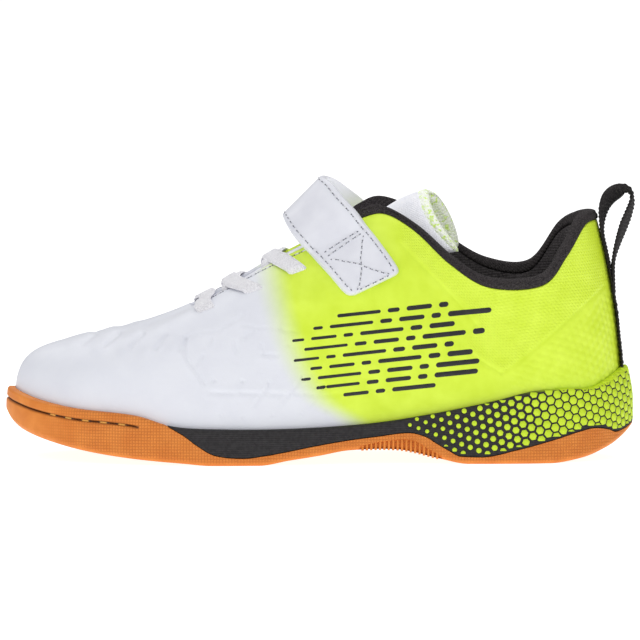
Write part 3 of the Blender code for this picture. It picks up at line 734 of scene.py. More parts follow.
def groove_share(places):
    """1 in the slit of the toe bumper, 0 beside it, for points anywhere on the sole."""
    where = np.linspace(-GROOVE_ROWS, GROOVE_ROWS, GROOVE_STEPS) % TURN
    edge = outline(where)[0]
    level = section(where).lip_z - GROOVE_BELOW_LIP
    front = places[:, 0] < GROOVE_END
    apart = np.linalg.norm(places[front, None, :2] - edge[None, :, :2], axis=-1)
    share = np.zeros(len(places))
    share[front] = hump(places[front, 2] - level[np.argmin(apart, axis=1)], GROOVE_HALF)
    return share


def make_ribs(finish):
    """Upright ribs of the arch, each a small bar with a rounded face."""
    across_bar, out_bar = (np.array(RIB_SECTION) * (RIB_WIDTH / 2, RIB_DEPTH)).T
    share, inset = np.array(RIB_INSETS).T[..., None]
    shape = Shape()
    for index in range(int((RIB_LAST - RIB_FIRST) / RIB_PITCH) + 1):
        for side in (-1, 1):
            where = place_at(RIB_FIRST + index * RIB_PITCH, side)
            edge, outward = outline(where)
            bottom = sole_foot(where)[2] - RIB_BELOW_EDGE
            height = profile(RIB_TOPS, edge[0]) + RIB_ABOVE_SLOT - bottom
            centres = edge - outward * inset + UP * (bottom + height * share)
            rings = sweep(centres, np.cross(UP, outward), outward, across_bar, out_bar)
            shape.tube(rings, closed=False)
    shape.make("arch_ribs", "gum_rubber", [finish], merge=0.004)


def make_midsole(finish):
    where = np.arange(MIDSOLE_ROW * SOLE_STEPS, (TURN - MIDSOLE_ROW) * SOLE_STEPS + 1) / SOLE_STEPS
    line = rubber_line(outline(where)[0][:, 0]) + GAP / 2
    lip = section(where).lip_z
    kept = line < lip
    where, line, lip = where[kept], line[kept], lip[kept]
    rows = sole_rows(where, line, lip)
    below = rows[-2].copy()
    below[:, 2] = line
    rows = np.concatenate([below[None], rows])
    shape = Shape()
    shape.grid(rows, vector(run_length(outline(where)[0]), rows[..., 2]))
    half = (len(where) + 1) // 2
    for ring in (below, rows[-1]):
        shape.grid(np.stack([ring[:half], ring[::-1][:half]], 1))
    front = [*rows[:, 0], *rows[::-1, -1]]
    shape.add(front, [tuple(range(len(front)))])
    midsole = shape.make("foam_midsole", "midsole_foam", [finish], merge=0.004)
    places = places_of(midsole)
    outer = where <= HEEL_ROW
    below_lip = np.interp(places[:, 0], outline(where[outer])[0][:, 0], lip[outer]) - places[:, 2]
    add_mask(midsole, "painted", ease(*PAINTED_FROM, places[:, 0]) * ease(*PAINTED_BELOW_LIP, below_lip))
    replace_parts(midsole, "midsole")


# Honeycomb of the heel side: rows that fall to the heel, cell sizes along the shoe, rings as (reach, rise)
CELL_PITCH = 3.07
CELL_SLANT = -20.5
CELL_RADII = ((29, 0.7), (36, 0.78), (48, 0.96), (58, 1.13), (69, 1.36), (80, 1.57), (105, 1.61))
CELL_FRONT = 29.5
CELL_ROUND_UNTIL = (46.0, 70.0)
CELL_MARGIN = 0.9
CELL_BELOW_LIP = 0.1
CELL_ROUND_REACH = 0.93
CELL_RINGS = ((1.0, -0.2), (0.9, 0.14), (0.0, 0.168))
CELL_CORNERS = 12
CELL_FAN = [(2 * CELL_CORNERS, corner + CELL_CORNERS, (corner + 1) % CELL_CORNERS + CELL_CORNERS)
            for corner in range(CELL_CORNERS)]
CELL_ROWS = range(-20, 40)
CELL_COLUMNS = range(-45, 25)
CELL_RUN_FROM = 8.0
CELL_RUN_STEPS = 801


def cell_corners(roundness):
    """Corners of a cell of radius 1: a hexagon with its corners drawn in towards a circle."""
    turns = turns_round(CELL_CORNERS)
    flat_side = math.cos(math.pi / 6) / np.cos((turns + math.pi / 6) % (math.pi / 3) - math.pi / 6)
    reach = flat_side * (1 - roundness) + CELL_ROUND_REACH * roundness
    turns = turns + math.radians(CELL_SLANT)
    return vector(reach * np.cos(turns), reach * np.sin(turns))


def add_cell(shape, centre, run, run_where):
    """One raised cell at a place along the heel's side, if it lies between the gum and the lip."""
    where = np.interp(centre[0], run, run_where)
    x = outline(where)[0][0]
    radius = profile(CELL_RADII, x)
    low = rubber_line(x) + CELL_MARGIN
    high = section(where).lip_z - CELL_BELOW_LIP
    if x < CELL_FRONT or not low - radius / 2 < centre[1] < high + radius / 2:
        return
    corners = radius * cell_corners(1 - ease(*CELL_ROUND_UNTIL, x))
    rings = []
    for share, rise in CELL_RINGS:
        spots = centre + corners * share
        spot_where = np.interp(spots[:, 0], run, run_where)
        point = side_point(spot_where, np.clip(spots[:, 1], low, high))
        rings.append(point + outline(spot_where)[1] * rise)
    points = np.concatenate([rings[0], rings[1], rings[2][:1]])
    shape.add(points, grid_faces(2, CELL_CORNERS, True) + CELL_FAN)


def make_cells(finish):
    run_where = np.linspace(CELL_RUN_FROM, TURN - CELL_RUN_FROM, CELL_RUN_STEPS)
    run = run_length(outline(run_where)[0])
    run = run - run[CELL_RUN_STEPS // 2]
    turns = math.radians(CELL_SLANT) + np.array((0.0, math.pi / 3))
    along_row, next_row = CELL_PITCH * vector(np.cos(turns), np.sin(turns))
    shape = Shape()
    for row in CELL_ROWS:
        for column in CELL_COLUMNS:
            add_cell(shape, row * next_row + column * along_row, run, run_where)
    shape.make("heel_cells", "midsole_foam", [finish], sharp=80.0)


# Upper: creases as depth, half width and line in side view (x, z), alike on both sides
Crease = namedtuple("Crease", "depth half line")
CREASES = (
    Crease(0.5, 0.6, ((-44.6, 41.8), (-44.7, 37.0), (-42.6, 33.1), (-39.9, 29.8), (-38.3, 27.2))),
    Crease(0.35, 0.6, ((-43.9, 42.3), (-39.9, 43.6), (-34.6, 44.2), (-30.6, 46.4), (-25.3, 49.3))),
    Crease(0.42, 0.6, ((-35.9, 41.7), (-36.9, 39.5))),
    Crease(0.4, 0.6, ((-38.6, 36.3), (-41.6, 32.7))),
    Crease(0.42, 0.6, ((-28.0, 40.7), (-27.3, 37.5))),
    Crease(0.45, 0.9, ((-21.7, 45.2), (-24.6, 42.3))),
    Crease(0.25, 0.5, ((-25.3, 46.3), (-18.7, 45.5))),
    Crease(0.22, 0.5, ((-18.0, 45.6), (-13.0, 45.4))),
    Crease(0.45, 0.6, ((-12.7, 44.9), (-7.1, 44.2))),
    Crease(0.22, 0.5, ((-10.7, 49.4), (-12.7, 45.5))),
    Crease(0.42, 0.6, ((-19.3, 40.4), (-18.7, 37.5))),
    Crease(0.42, 0.6, ((-19.3, 36.9), (-14.0, 36.6))),
    Crease(0.35, 0.6, ((-10.7, 40.2), (-8.7, 39.2), (-7.1, 36.0))),
    Crease(0.5, 0.7, ((-35.9, 24.4), (-28.3, 24.0))),
    Crease(0.5, 0.7, ((-26.3, 24.2), (-19.7, 23.9))),
    Crease(0.5, 0.7, ((-17.3, 23.9), (-10.7, 23.5))),
    Crease(0.5, 0.7, ((-8.0, 24.0), (-1.4, 23.3))),
    Crease(0.5, 0.7, ((0.6, 23.2), (7.0, 23.5))),
    Crease(0.4, 0.5, ((-22.0, 19.4), (-19.3, 23.2), (-16.7, 26.9))),
    Crease(0.4, 0.5, ((-12.7, 20.1), (-6.0, 28.8))),
    Crease(0.4, 0.5, ((-3.4, 19.4), (1.6, 25.8))),
    Crease(0.4, 0.7, ((52.2, 46.4), (47.9, 40.0), (53.0, 35.0), (60.6, 30.4))),
    Crease(0.4, 0.6, ((60.6, 30.0), (70.0, 36.8), (82.0, 46.6), (95.6, 58.0))),
    Crease(0.25, 0.8, ((52.2, 46.4), (44.0, 56.0), (35.0, 65.0), (27.0, 73.0))),
)
CREASE_SWELL = 0.4
CREASE_SWELL_WIDTH = 3.2
CREASE_STEPS = 6
FLEX_CREASES = (
    Crease(0.5, 0.6, ((-79.6, 38.0), (-75.0, 41.0))),
    Crease(0.65, 0.6, ((-71.5, 38.3), (-67.1, 41.8))),
    Crease(0.65, 0.6, ((-62.8, 38.3), (-58.8, 42.5))),
    Crease(0.65, 0.6, ((-54.5, 38.3), (-50.9, 42.2))),
    Crease(0.5, 0.6, ((-46.2, 38.3), (-44.4, 41.8))),
)
FLEX_SWELL = 1.1
FLEX_SHIFT = 2.4
DOTS = (
    (-35.1, 28.2), (-25.6, 28.0), (-16.8, 27.6), (-5.9, 29.6), (1.3, 26.3), (-32.6, 16.6),
    (-25.3, 15.4), (-15.3, 16.4), (-5.7, 17.1), (2.9, 17.8),
)
DOT_DEPTH = 0.7
DOT_HALF = 0.6
HEEL_SEAM = ((60.6, 30.0), (95.6, 58.0))
QUILT_PITCH = 2.55
QUILT_DEPTH = 0.2
QUILT_TURNS = np.radians((8.7, 68.7, 128.7))
QUILT_FROM = (61, 66)
QUILT_BELOW_SEAM = (-3.5, -1.5)
DIMPLE_FRONT = ((24, 61.0), (31, 60.0), (36, 52.0), (40, 48.4), (46.5, 52.5), (60, 40.0), (74, 26.5))
DIMPLE_BORDER = 2.0
DIMPLE_ABOVE_SEAM = (-1.5, 1.0)
FADE_LINE = ((12, 14.0), (15, 10.0), (21.5, 0.2), (31.6, -6.6), (44.7, -11.6), (62.0, -16.0), (75, -18.0))
FADE_HALF = 7.0
UPPER_STEPS = ((0, 2, 12), (2, 8, 26), (8, 12, 14), (12, 22, 18), (22, 26, 14), (26, 32, 26), (32, 34, 12))
UPPER_LEVELS = 114
INNER_EVERY = 6
FLAT_LEVEL = 0.35
BRIM_RISE = 0.4
COLLAR_PADDING = 2.4
PADDED_ROWS = (9.5, 12.5)
PADDED_LEVELS = (0.6, 0.95)
THROAT_LINING = (4, 14)


def line_distance(x, z, line):
    """Distance in side view from points to a line through several points."""
    nearest = np.full(np.shape(x), np.inf)
    for (x0, z0), (x1, z1) in zip(line, line[1:]):
        run_x, run_z = x1 - x0, z1 - z0
        share = np.clip(((x - x0) * run_x + (z - z0) * run_z) / (run_x ** 2 + run_z ** 2), 0, 1)
        nearest = np.minimum(nearest, np.hypot(x - x0 - share * run_x, z - z0 - share * run_z))
    return nearest


def above_heel_seam(x, z):
    """Height over the slanting seam of the heel."""
    (x0, z0), (x1, z1) = HEEL_SEAM
    return z - z0 - (x - x0) * (z1 - z0) / (x1 - x0)


def quilting(u, v):
    """Rounded bumps on a slanted grid."""
    runs = [u * np.cos(turn) + v * np.sin(turn) for turn in QUILT_TURNS]
    return sum(np.cos(run * 2 * math.pi / QUILT_PITCH) for run in runs) / len(runs)


def emboss(x, z, u, v):
    """Height of the relief over the plain wall, from place in side view and along the surface."""
    height = np.zeros(np.shape(x))
    for crease in CREASES:
        away = line_distance(x, z, smooth_line(crease.line, CREASE_STEPS))
        height -= crease.depth * hump(away, crease.half)
        height += crease.depth * CREASE_SWELL * hump(away, CREASE_SWELL_WIDTH * crease.half)
    for crease in FLEX_CREASES:
        height -= crease.depth * hump(line_distance(x, z, crease.line), crease.half)
        beside = line_distance(x + FLEX_SHIFT, z, crease.line)
        height += crease.depth * FLEX_SWELL * hump(beside, FLEX_SHIFT)
    for dot_x, dot_z in DOTS:
        height -= DOT_DEPTH * hump(np.hypot(x - dot_x, z - dot_z), DOT_HALF)
    quilted = ease(*QUILT_FROM, x) * (1 - ease(*QUILT_BELOW_SEAM, above_heel_seam(x, z)))
    return height + QUILT_DEPTH * quilted * quilting(u, v)


def upper_places():
    """Places round the upper, closer together where it is creased."""
    spans = [first + np.arange((last - first) * steps) / steps for first, last, steps in UPPER_STEPS]
    return np.concatenate(spans)


def mask_upper(upper):
    """Masks for the fade to yellow, the dimpled panel and the white lining of the throat."""
    x, _, z = places_of(upper).T
    fade_x = profile(FADE_LINE, z)
    front = profile(DIMPLE_FRONT, z)
    dimpled = ease(front, front + DIMPLE_BORDER, x) * ease(*DIMPLE_ABOVE_SEAM, above_heel_seam(x, z))
    add_mask(upper, "fade", ease(fade_x - FADE_HALF, fade_x + FADE_HALF, x))
    add_mask(upper, "dimpled", dimpled)
    add_mask(upper, "throat", 1 - ease(*THROAT_LINING, x))


def make_upper(finish, lining):
    """Dense hollow wall; returns a tree for laying other pieces on it."""
    where = upper_places()[None]
    level = np.linspace(0, 1, UPPER_LEVELS + 1)[:, None]
    points = wall(where, level)
    up, out = wall_frame(where, level)
    u = run_length(wall(where[0], FLAT_LEVEL))
    u = np.broadcast_to(u - np.interp(HEEL_ROW, where[0], u), points.shape[:2])
    v = run_length(points)
    outer = points + out * emboss(points[..., 0], points[..., 2], u, v)[..., None]
    from_front = np.minimum(where, TURN - where)
    padding = COLLAR_PADDING * ease(*PADDED_ROWS, from_front) * ease(*PADDED_LEVELS, level)
    inner = (points - out * (WALL + padding)[..., None])[::-INNER_EVERY]
    brim = (outer[-1:] + inner[:1]) / 2 + up[-1:] * BRIM_RISE
    rows = np.concatenate([outer, brim, inner, outer[:1]])
    flat = vector(u, v)
    flat = np.concatenate([flat, flat[-1:], flat[::-INNER_EVERY], flat[:1]])
    split = UPPER_LEVELS + 1
    shape = Shape()
    shape.grid(rows[:split + 1], flat[:split + 1], closed=True)
    shape.grid(rows[split:], flat[split:], closed=True, finish=1)
    upper = shape.make("leather_upper", "upper_synthetic", [finish, lining], merge=0.002, sharp=80.0)
    mask_upper(upper)
    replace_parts(upper, "upper")
    return BVHTree.FromPolygons(outer.reshape(-1, 3).tolist(), grid_faces(split, outer.shape[1], True))


def upper_finish():
    """Grained leather that fades from white to yellow, with a dimpled panel."""
    finish = Finish("upper_synthetic", WHITES[0], roughness=0.42)
    white = finish.mottled(WHITES, size=9.0, spread=WIDE)
    yellow = finish.mottled(YELLOWS, size=7.0, spread=WIDE)
    finish.surface({"Base Color": finish.mix(finish.mask("fade"), white, yellow)})
    dimples = finish.weave(pitch=1.05, angles=(30, 90, 150))
    finish.bump(finish.calc("MULTIPLY", dimples, finish.mask("dimpled")), depth=0.03)
    finish.bump(finish.pebbles(size=0.55), depth=0.03)
    finish.bump(finish.noise(size=1.8, detail=3.0), depth=0.08)
    return finish.material


def lining_finish():
    """Dark knit, white round the throat."""
    finish = Finish("lining_knit", LINING[0], roughness=0.92)
    knit = finish.mottled(LINING, size=0.6, spread=SOFT)
    finish.surface({"Base Color": finish.mix(finish.mask("throat"), knit, linear(*WHITES[0]))})
    finish.bump(finish.weave(pitch=0.9, angles=(90, 0)), depth=0.06)
    return finish.material


# Threads: small beads along a line; rings as share of length, size, lift, and 1 where painted shade of the
# needle holes falls
STITCH_LENGTH = 2.6
STITCH_PITCH = 2.7
STITCH_WIDTH = 0.5
STITCH_HEIGHT = 0.26
STITCH_SIDES = 6
STITCH_RINGS = (
    (0.0, 0.6, -0.3, 1), (0.19, 0.9, 0.15, 1), (0.3, 0.95, 0.3, 0), (0.5, 1.0, 0.4, 0),
    (0.7, 0.95, 0.3, 0), (0.81, 0.9, 0.15, 1), (1.0, 0.6, -0.3, 1),
)


def add_stitch(shape, start, end, out, width=STITCH_WIDTH, height=STITCH_HEIGHT):
    """One loop of thread that dips into the surface at both ends."""
    share, size, lift, _ = np.array(STITCH_RINGS).T[..., None]
    turns = turns_round(STITCH_SIDES)
    centres = start + (end - start) * share + out * lift * height
    side = np.cross(out, unit(end - start))
    shape.tube(sweep(centres, side, out, size * np.cos(turns) * width / 2, size * np.sin(turns) * height))


def make_stitches(shape, name, slot, finish):
    """Object of the stitches in a shape, whose ends are marked for the painted shade of the needle holes."""
    stitches = shape.make(name, slot, [finish])
    holes = [hole_shade for _, _, _, hole_shade in STITCH_RINGS] + [1, 1]
    one = np.repeat(holes, STITCH_SIDES)
    add_mask(stitches, "hole_shade", np.tile(one, len(stitches.data.vertices) // len(one)))


def stitch_along(shape, points, outs, length=STITCH_LENGTH, pitch=STITCH_PITCH, **sizes):
    """Even stitches along a line of points with their outward directions."""
    run = run_length(points)
    count = int(run[-1] / pitch)
    first = (run[-1] - count * pitch) / 2 + np.arange(count) * pitch

    def read(values, places):
        return np.stack([np.interp(places, run, values[:, axis]) for axis in range(3)], -1)

    starts, ends = read(points, first), read(points, first + length)
    for start, end, out in zip(starts, ends, unit(read(outs, first + length / 2))):
        add_stitch(shape, start, end, out, **sizes)


def thread_finish(name, colour, hole_shade):
    """Thread with painted shade at its ends, where it dips into its needle holes."""
    finish = Finish(name, colour, roughness=0.6)
    shade = tuple(round(part * THREAD_SHADE) for part in colour)
    thread = finish.mottled((colour, shade), size=0.5, spread=SOFT)
    # painted shade at both ends of each stitch
    finish.surface({"Base Color": finish.mix(finish.mask("hole_shade"), thread, linear(*hole_shade))})
    finish.bump(finish.noise(size=0.25), depth=0.05)
    return finish.material


# Eyestay seam and the thread in the groove of the toe
EYESTAY_ROWS = (3.1, 8.3)
EYESTAY_FROM_RIM = 2.4
EYESTAY_STEPS = 120
TOE_THREAD = (-91.5, -61.5)
TOE_THREAD_STEPS = 60
TOE_STITCH = {"length": 4.7, "pitch": 6.5, "width": 0.8, "height": 0.36}


def make_eyestay_seam(finish):
    shape = Shape()
    for first, last in (EYESTAY_ROWS, (TURN - EYESTAY_ROWS[0], TURN - EYESTAY_ROWS[1])):
        where = np.linspace(first, last, EYESTAY_STEPS)
        slope = np.linalg.norm(wall(where, 1.0) - wall(where, 1.0 - ROW_STEP), axis=-1) / ROW_STEP
        level = 1 - EYESTAY_FROM_RIM / slope
        stitch_along(shape, wall(where, level), wall_frame(where, level)[1])
    make_stitches(shape, "eyestay_seam", "upper_synthetic", finish)


def make_toe_thread(finish):
    shape = Shape()
    for side in (-1, 1):
        first, last = (place_at(x, side) for x in TOE_THREAD)
        where = np.linspace(first, last, TOE_THREAD_STEPS)
        points = side_point(where, section(where).lip_z - GROOVE_BELOW_LIP)
        stitch_along(shape, points, outline(where)[1], **TOE_STITCH)
    make_stitches(shape, "toe_thread", "gum_rubber", finish)


# Print on the side: rows of dashes, rising a little to the heel; first is the length a row starts with
PrintRow = namedtuple("PrintRow", "z start end first")
PRINT = (
    PrintRow(24.6, 8.0, 33.0, 2),
    PrintRow(27.9, -1.0, 44.0, 0),
    PrintRow(31.2, -6.0, 40.0, 3),
    PrintRow(34.5, -3.0, 51.0, 1),
    PrintRow(37.8, -8.5, 47.0, 2),
    PrintRow(41.1, -5.0, 54.0, 0),
    PrintRow(44.4, -9.0, 43.0, 1),
    PrintRow(47.7, -2.0, 47.5, 3),
    PrintRow(51.0, 6.0, 40.0, 0),
)
PRINT_LENGTHS = (14.5, 4.0, 8.5, 3.2)
PRINT_SPACE = 2.3
PRINT_MIDDLE = 22.0
PRINT_RISE = 0.1
PRINT_HALVES = (0.45, 0.95)
PRINT_SPAN = (-9.0, 52.0)
PRINT_LIFT = 0.1
PRINT_ACROSS = (-1.0, -0.6, 0.0, 0.6, 1.0)
PRINT_EDGE_FALL = 0.7
PRINT_STEP = 0.8
PRINT_THINNEST = 0.02
CAP_STEPS = 7
RAY_START = 80.0


def side_ray(tree, x, z, side):
    """What a level ray from the outer (-1) or inner side meets first on the upper."""
    return tree.ray_cast(Vector((x, side * RAY_START, z)), Vector((0, -side, 0)))


def side_hit(tree, x, z, side):
    """Point of the upper seen from the side, and its outward direction."""
    hit, normal, _, _ = side_ray(tree, x, z, side)
    out = np.array(normal)
    return np.array(hit), out if out[1] * side > 0 else -out


def add_dash(shape, tree, start_x, end_x, base_z, side):
    """Dash with round ends that lies on the upper."""
    half = np.interp(start_x, PRINT_SPAN, PRINT_HALVES)
    turn = np.linspace(-math.pi / 2, math.pi / 2, CAP_STEPS)
    cap_x, cap_half = half * np.sin(turn), half * np.cos(turn)
    middle = CAP_STEPS // 2
    run = np.arange(start_x + half, end_x - half, PRINT_STEP)[1:]
    xs = np.concatenate([start_x + half + cap_x[:middle + 1], run, end_x - half + cap_x[middle:]])
    halves = np.concatenate([cap_half[:middle + 1], np.full(len(run), half), cap_half[middle:]])
    rows = []
    for x, half_there in zip(xs, np.maximum(halves, PRINT_THINNEST)):
        row = []
        for share in PRINT_ACROSS:
            z = base_z + (x - PRINT_MIDDLE) * PRINT_RISE + half_there * share
            point, out = side_hit(tree, x, z, side)
            row.append(point + out * PRINT_LIFT * (1 - PRINT_EDGE_FALL * abs(share) ** 4))
        rows.append(row)
    shape.grid(np.array(rows))


def make_print(tree, finish):
    shape = Shape()
    for row in PRINT:
        start, order = row.start, row.first
        while start < row.end:
            length = PRINT_LENGTHS[order % len(PRINT_LENGTHS)]
            for side in (-1, 1):
                add_dash(shape, tree, start, start + length, row.z, side)
            start += length + PRINT_SPACE
            order += 1
    shape.make("side_print", "upper_synthetic", [finish])


# Collar cuff: its section as (up along the wall, out from the wall), and the rows it spans
CUFF_SECTION = (
    (0.3, 0.0), (1.7, 0.6), (3.1, 0.2), (3.9, -1.2), (3.7, -2.9), (2.4, -4.0), (0.3, -4.2),
)
CUFF_ROWS = (8.4, TURN - 8.4)
CUFF_THIN_UNTIL_ROW = 9.6
CUFF_FULL_FROM_ROW = 12.0
CUFF_THIN_SHARE = 0.43
CUFF_SEAM_AT = 1.5
CUFF_SEAM_HALF = 0.22
CUFF_SEAM_DEPTH = 0.28
CUFF_STEPS = 400
CUFF_FINE = 6
CUFF_POINT_RUN = 1.6


def make_cuff(finish):
    where = np.linspace(*CUFF_ROWS, CUFF_STEPS)
    up, out = wall_frame(where, 1.0)
    rim = wall(where, 1.0)
    padding = ease(CUFF_THIN_UNTIL_ROW, CUFF_FULL_FROM_ROW, np.minimum(where, TURN - where))
    share = CUFF_THIN_SHARE + (1 - CUFF_THIN_SHARE) * padding
    places = np.arange(len(CUFF_SECTION) * CUFF_FINE) / CUFF_FINE
    loop = blend(CUFF_SECTION, places, True)
    seam = CUFF_SEAM_DEPTH * hump(places - CUFF_SEAM_AT, CUFF_SEAM_HALF)
    rings = sweep(rim, up, out, loop[:, 0], loop[:, 1] * share[:, None] - seam)
    shape = Shape()
    shape.tube(rings, vector(run_length(rim)[:, None], places * CUFF_POINT_RUN))
    cuff = shape.make("knit_cuff", "black_knit", [finish], merge=0.002, sharp=70.0)
    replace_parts(cuff, "collar_cuff")


# Tongue: rows it runs along under the throat, then free sections above it
TONGUE_ROWS = (3.4, 9.0)
TONGUE_LAPS = (0.30, 0.13)
TONGUE_FRONT = (-8.0, 0.0, -5.0)
TONGUE_CROWNS = (2.2, 3.0)
TONGUE_OUTER_CUT = 1.7
TONGUE_INNER_CUT = 0.55
FreeSection = namedtuple("FreeSection", "ridge_x ridge_z corner_x corner_z half_width")
TONGUE_TOP = (
    FreeSection(20.0, 82.8, 29.0, 68.0, 12.0),
    FreeSection(27.5, 87.0, 37.5, 68.6, 12.6),
    FreeSection(34.4, 89.7, 46.0, 69.8, 13.0),
)
TONGUE_STEPS = 12
TONGUE_FINE = 6
TONGUE_SIDE_COLUMNS = 4
TONGUE_EDGE = 2.2
TONGUE_ROLL = 1.9
TONGUE_ROLL_SIDES = 14
TONGUE_ROLL_END = 0.05
SLAB_BORDER = 0.12


def tongue_under_throat(where):
    """Section of the tongue that the throat's two edges lap over."""
    lap = np.interp(where, TONGUE_ROWS, TONGUE_LAPS)
    crown = np.interp(ease(np.mean(TONGUE_ROWS), TONGUE_ROWS[1], where), (0, 1), TONGUE_CROWNS)
    depth = WALL + 2 * GAP
    levels = 1.0 - lap * np.array((1.0, 0.5, 0.0))
    near = wall(where, levels) - wall_frame(where, levels)[1] * depth
    far = (wall(TURN - where, levels) - wall_frame(TURN - where, levels)[1] * depth)[::-1]
    share = np.array((0.25, 0.5, 0.75))[:, None]
    arch = near[-1] * (1 - share) + far[0] * share + UP * crown * np.sin(math.pi * share)
    return np.concatenate([near, arch, far])


def tongue_above_throat(free):
    """Free section of the tongue: a half pipe whose end is cut back towards its corners."""
    column = np.arange(-TONGUE_SIDE_COLUMNS, TONGUE_SIDE_COLUMNS + 1)
    turn = math.pi / 2 * np.abs(column) / TONGUE_SIDE_COLUMNS
    fall = 1 - np.cos(turn)
    cut = np.where(column < 0, TONGUE_OUTER_CUT, TONGUE_INNER_CUT)
    return vector(
        free.ridge_x + (free.corner_x - free.ridge_x) * fall ** cut,
        np.sign(column) * free.half_width * np.sin(turn),
        free.ridge_z + (free.corner_z - free.ridge_z) * fall)


def refine(grid, fine):
    """Grid of points with smooth points added between its own, both ways."""
    for _ in range(2):
        lines = smooth_line(grid.reshape(len(grid), -1), fine)
        grid = lines.reshape(len(lines), -1, 3).transpose(1, 0, 2)
    return grid


def grid_normals(grid):
    along = np.gradient(grid, axis=0)
    sideways = np.gradient(grid, axis=1)
    return unit(np.cross(along, sideways))


def edge_distance(grid):
    """Distance of each point of a grid from its nearest border, along the grid."""
    down, over = run_length(grid), run_length(grid.transpose(1, 0, 2)).T
    return np.minimum(np.minimum(down, down[-1:] - down), np.minimum(over, over[:, -1:] - over))


def border_of(grid):
    """Points round the border of a grid."""
    return np.concatenate([grid[:-1, 0], grid[-1, :-1], grid[:0:-1, -1], grid[0, :0:-1]])


def add_slab(shape, grid, thick, rounding, flat=None, faces_of=(0, 0)):
    """Closed slab on a grid, its outer face rounded down to the border."""
    reach = np.clip(edge_distance(grid) / rounding, 0.0, 1.0)
    height = thick * (SLAB_BORDER + (1 - SLAB_BORDER) * np.sqrt(1 - (1 - reach) ** 2))
    outer = grid + grid_normals(grid) * height[..., None]
    shape.grid(outer, flat, finish=faces_of[0])
    shape.grid(grid, flat, finish=faces_of[1])
    shape.grid(np.array([border_of(outer), border_of(grid)]), closed=True, finish=faces_of[0])
    return outer


def flat_of(grid):
    """Coordinates along a grid in millimetres."""
    middle = grid[:, grid.shape[1] // 2]
    over = run_length(grid.transpose(1, 0, 2)).T
    return vector(run_length(middle)[:, None], over)


def add_roll(shape, grid):
    """Soft mesh roll along the free end of the tongue."""
    out = grid_normals(grid)[-1]
    ahead = unit(grid[-1] - grid[-2])
    centres = grid[-1] - out * TONGUE_THICK / 2
    turns = turns_round(TONGUE_ROLL_SIDES)
    ends = np.linspace(-1, 1, len(centres))[:, None]
    radius = TONGUE_ROLL * np.sqrt(np.clip(1 - np.abs(ends) ** 8, TONGUE_ROLL_END, 1))
    rings = sweep(centres, ahead, out, radius * np.cos(turns), radius * np.sin(turns))
    shape.tube(rings, vector(run_length(centres)[:, None], turns * TONGUE_ROLL), finish=1)


def make_tongue(finish, lining):
    steps = np.linspace(*TONGUE_ROWS, TONGUE_STEPS + 1)
    rows = [tongue_under_throat(where) for where in steps]
    rows.insert(0, rows[0] + TONGUE_FRONT)
    rows += [tongue_above_throat(free) for free in TONGUE_TOP]
    grid = refine(np.array(rows), TONGUE_FINE)
    shape = Shape()
    inner = grid - grid_normals(grid) * TONGUE_THICK
    add_slab(shape, inner, TONGUE_THICK, TONGUE_EDGE, flat_of(grid), (0, 1))
    add_roll(shape, grid)
    tongue = shape.make("padded_tongue", "white_textile", [finish, lining], merge=0.002, sharp=75.0)
    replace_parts(tongue, "tongue")


# Insole: rings up its edge as (inset, height)
INSOLE_RINGS = ((0.0, 0.0), (0.0, INSOLE_THICK - 1.0), (0.25, INSOLE_THICK - 0.3), (1.0, INSOLE_THICK))
INSOLE_STEPS = 6
INSOLE_COLUMNS = 25


def make_insole(finish):
    where = places_round(INSOLE_STEPS)
    outward = outline(where)[1]
    rings = []
    for inset, height in INSOLE_RINGS:
        ring = wall(where, 0.0) - outward * (WALL + 2 * GAP + inset)
        ring[:, 2] = profile(CUP_FLOOR, ring[:, 0]) + 2 * GAP + height
        rings.append(ring)
    shape = Shape()
    shape.grid(np.array(rings), closed=True)
    shape.grid(across(rings[0], 3))
    top = across(rings[-1], INSOLE_COLUMNS)
    top[..., 2] = profile(CUP_FLOOR, top[..., 0]) + 2 * GAP + INSOLE_THICK
    shape.grid(top, top[..., :2])
    insole = shape.make("textile_insole", "insole_foam", [finish], merge=0.004, sharp=60.0)
    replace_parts(insole, "insole")


# Strap: front and rear edge of each fold line, from the free end over the crest to the far side
Fold = namedtuple("Fold", "front_x front_y front_z rear_x rear_y rear_z")
STRAP = (
    Fold(11.9, -20.0, 56.2, 25.4, -20.0, 62.5),
    Fold(8.7, -20.0, 56.7, 26.2, -20.0, 65.1),
    Fold(3.5, -18.0, 62.4, 20.0, -16.0, 73.8),
    Fold(-0.8, -16.0, 66.8, 16.2, -15.6, 78.4),
    Fold(-5.5, -16.0, 71.6, 12.6, -15.2, 83.4),
    Fold(-8.8, -12.0, 75.2, 8.2, -11.6, 87.8),
    Fold(-10.9, -6.6, 78.3, 4.6, -6.2, 92.0),
    Fold(-11.6, 0.0, 79.6, 2.2, 0.0, 93.6),
    Fold(-10.9, 6.8, 78.3, 5.2, 6.8, 92.8),
    Fold(-8.8, 12.2, 75.2, 9.6, 12.4, 89.4),
    Fold(-5.5, 16.2, 71.6, 15.0, 16.2, 84.8),
    Fold(-0.8, 16.0, 66.8, 19.5, 16.4, 79.4),
    Fold(3.5, 18.0, 62.4, 23.5, 16.6, 74.6),
)
STRAP_STEPS = 12
STRAP_COLUMNS = 33
STRAP_EDGE = 1.1
STRAP_CLEAR = 0.66
STRAP_SOFTENINGS = 12

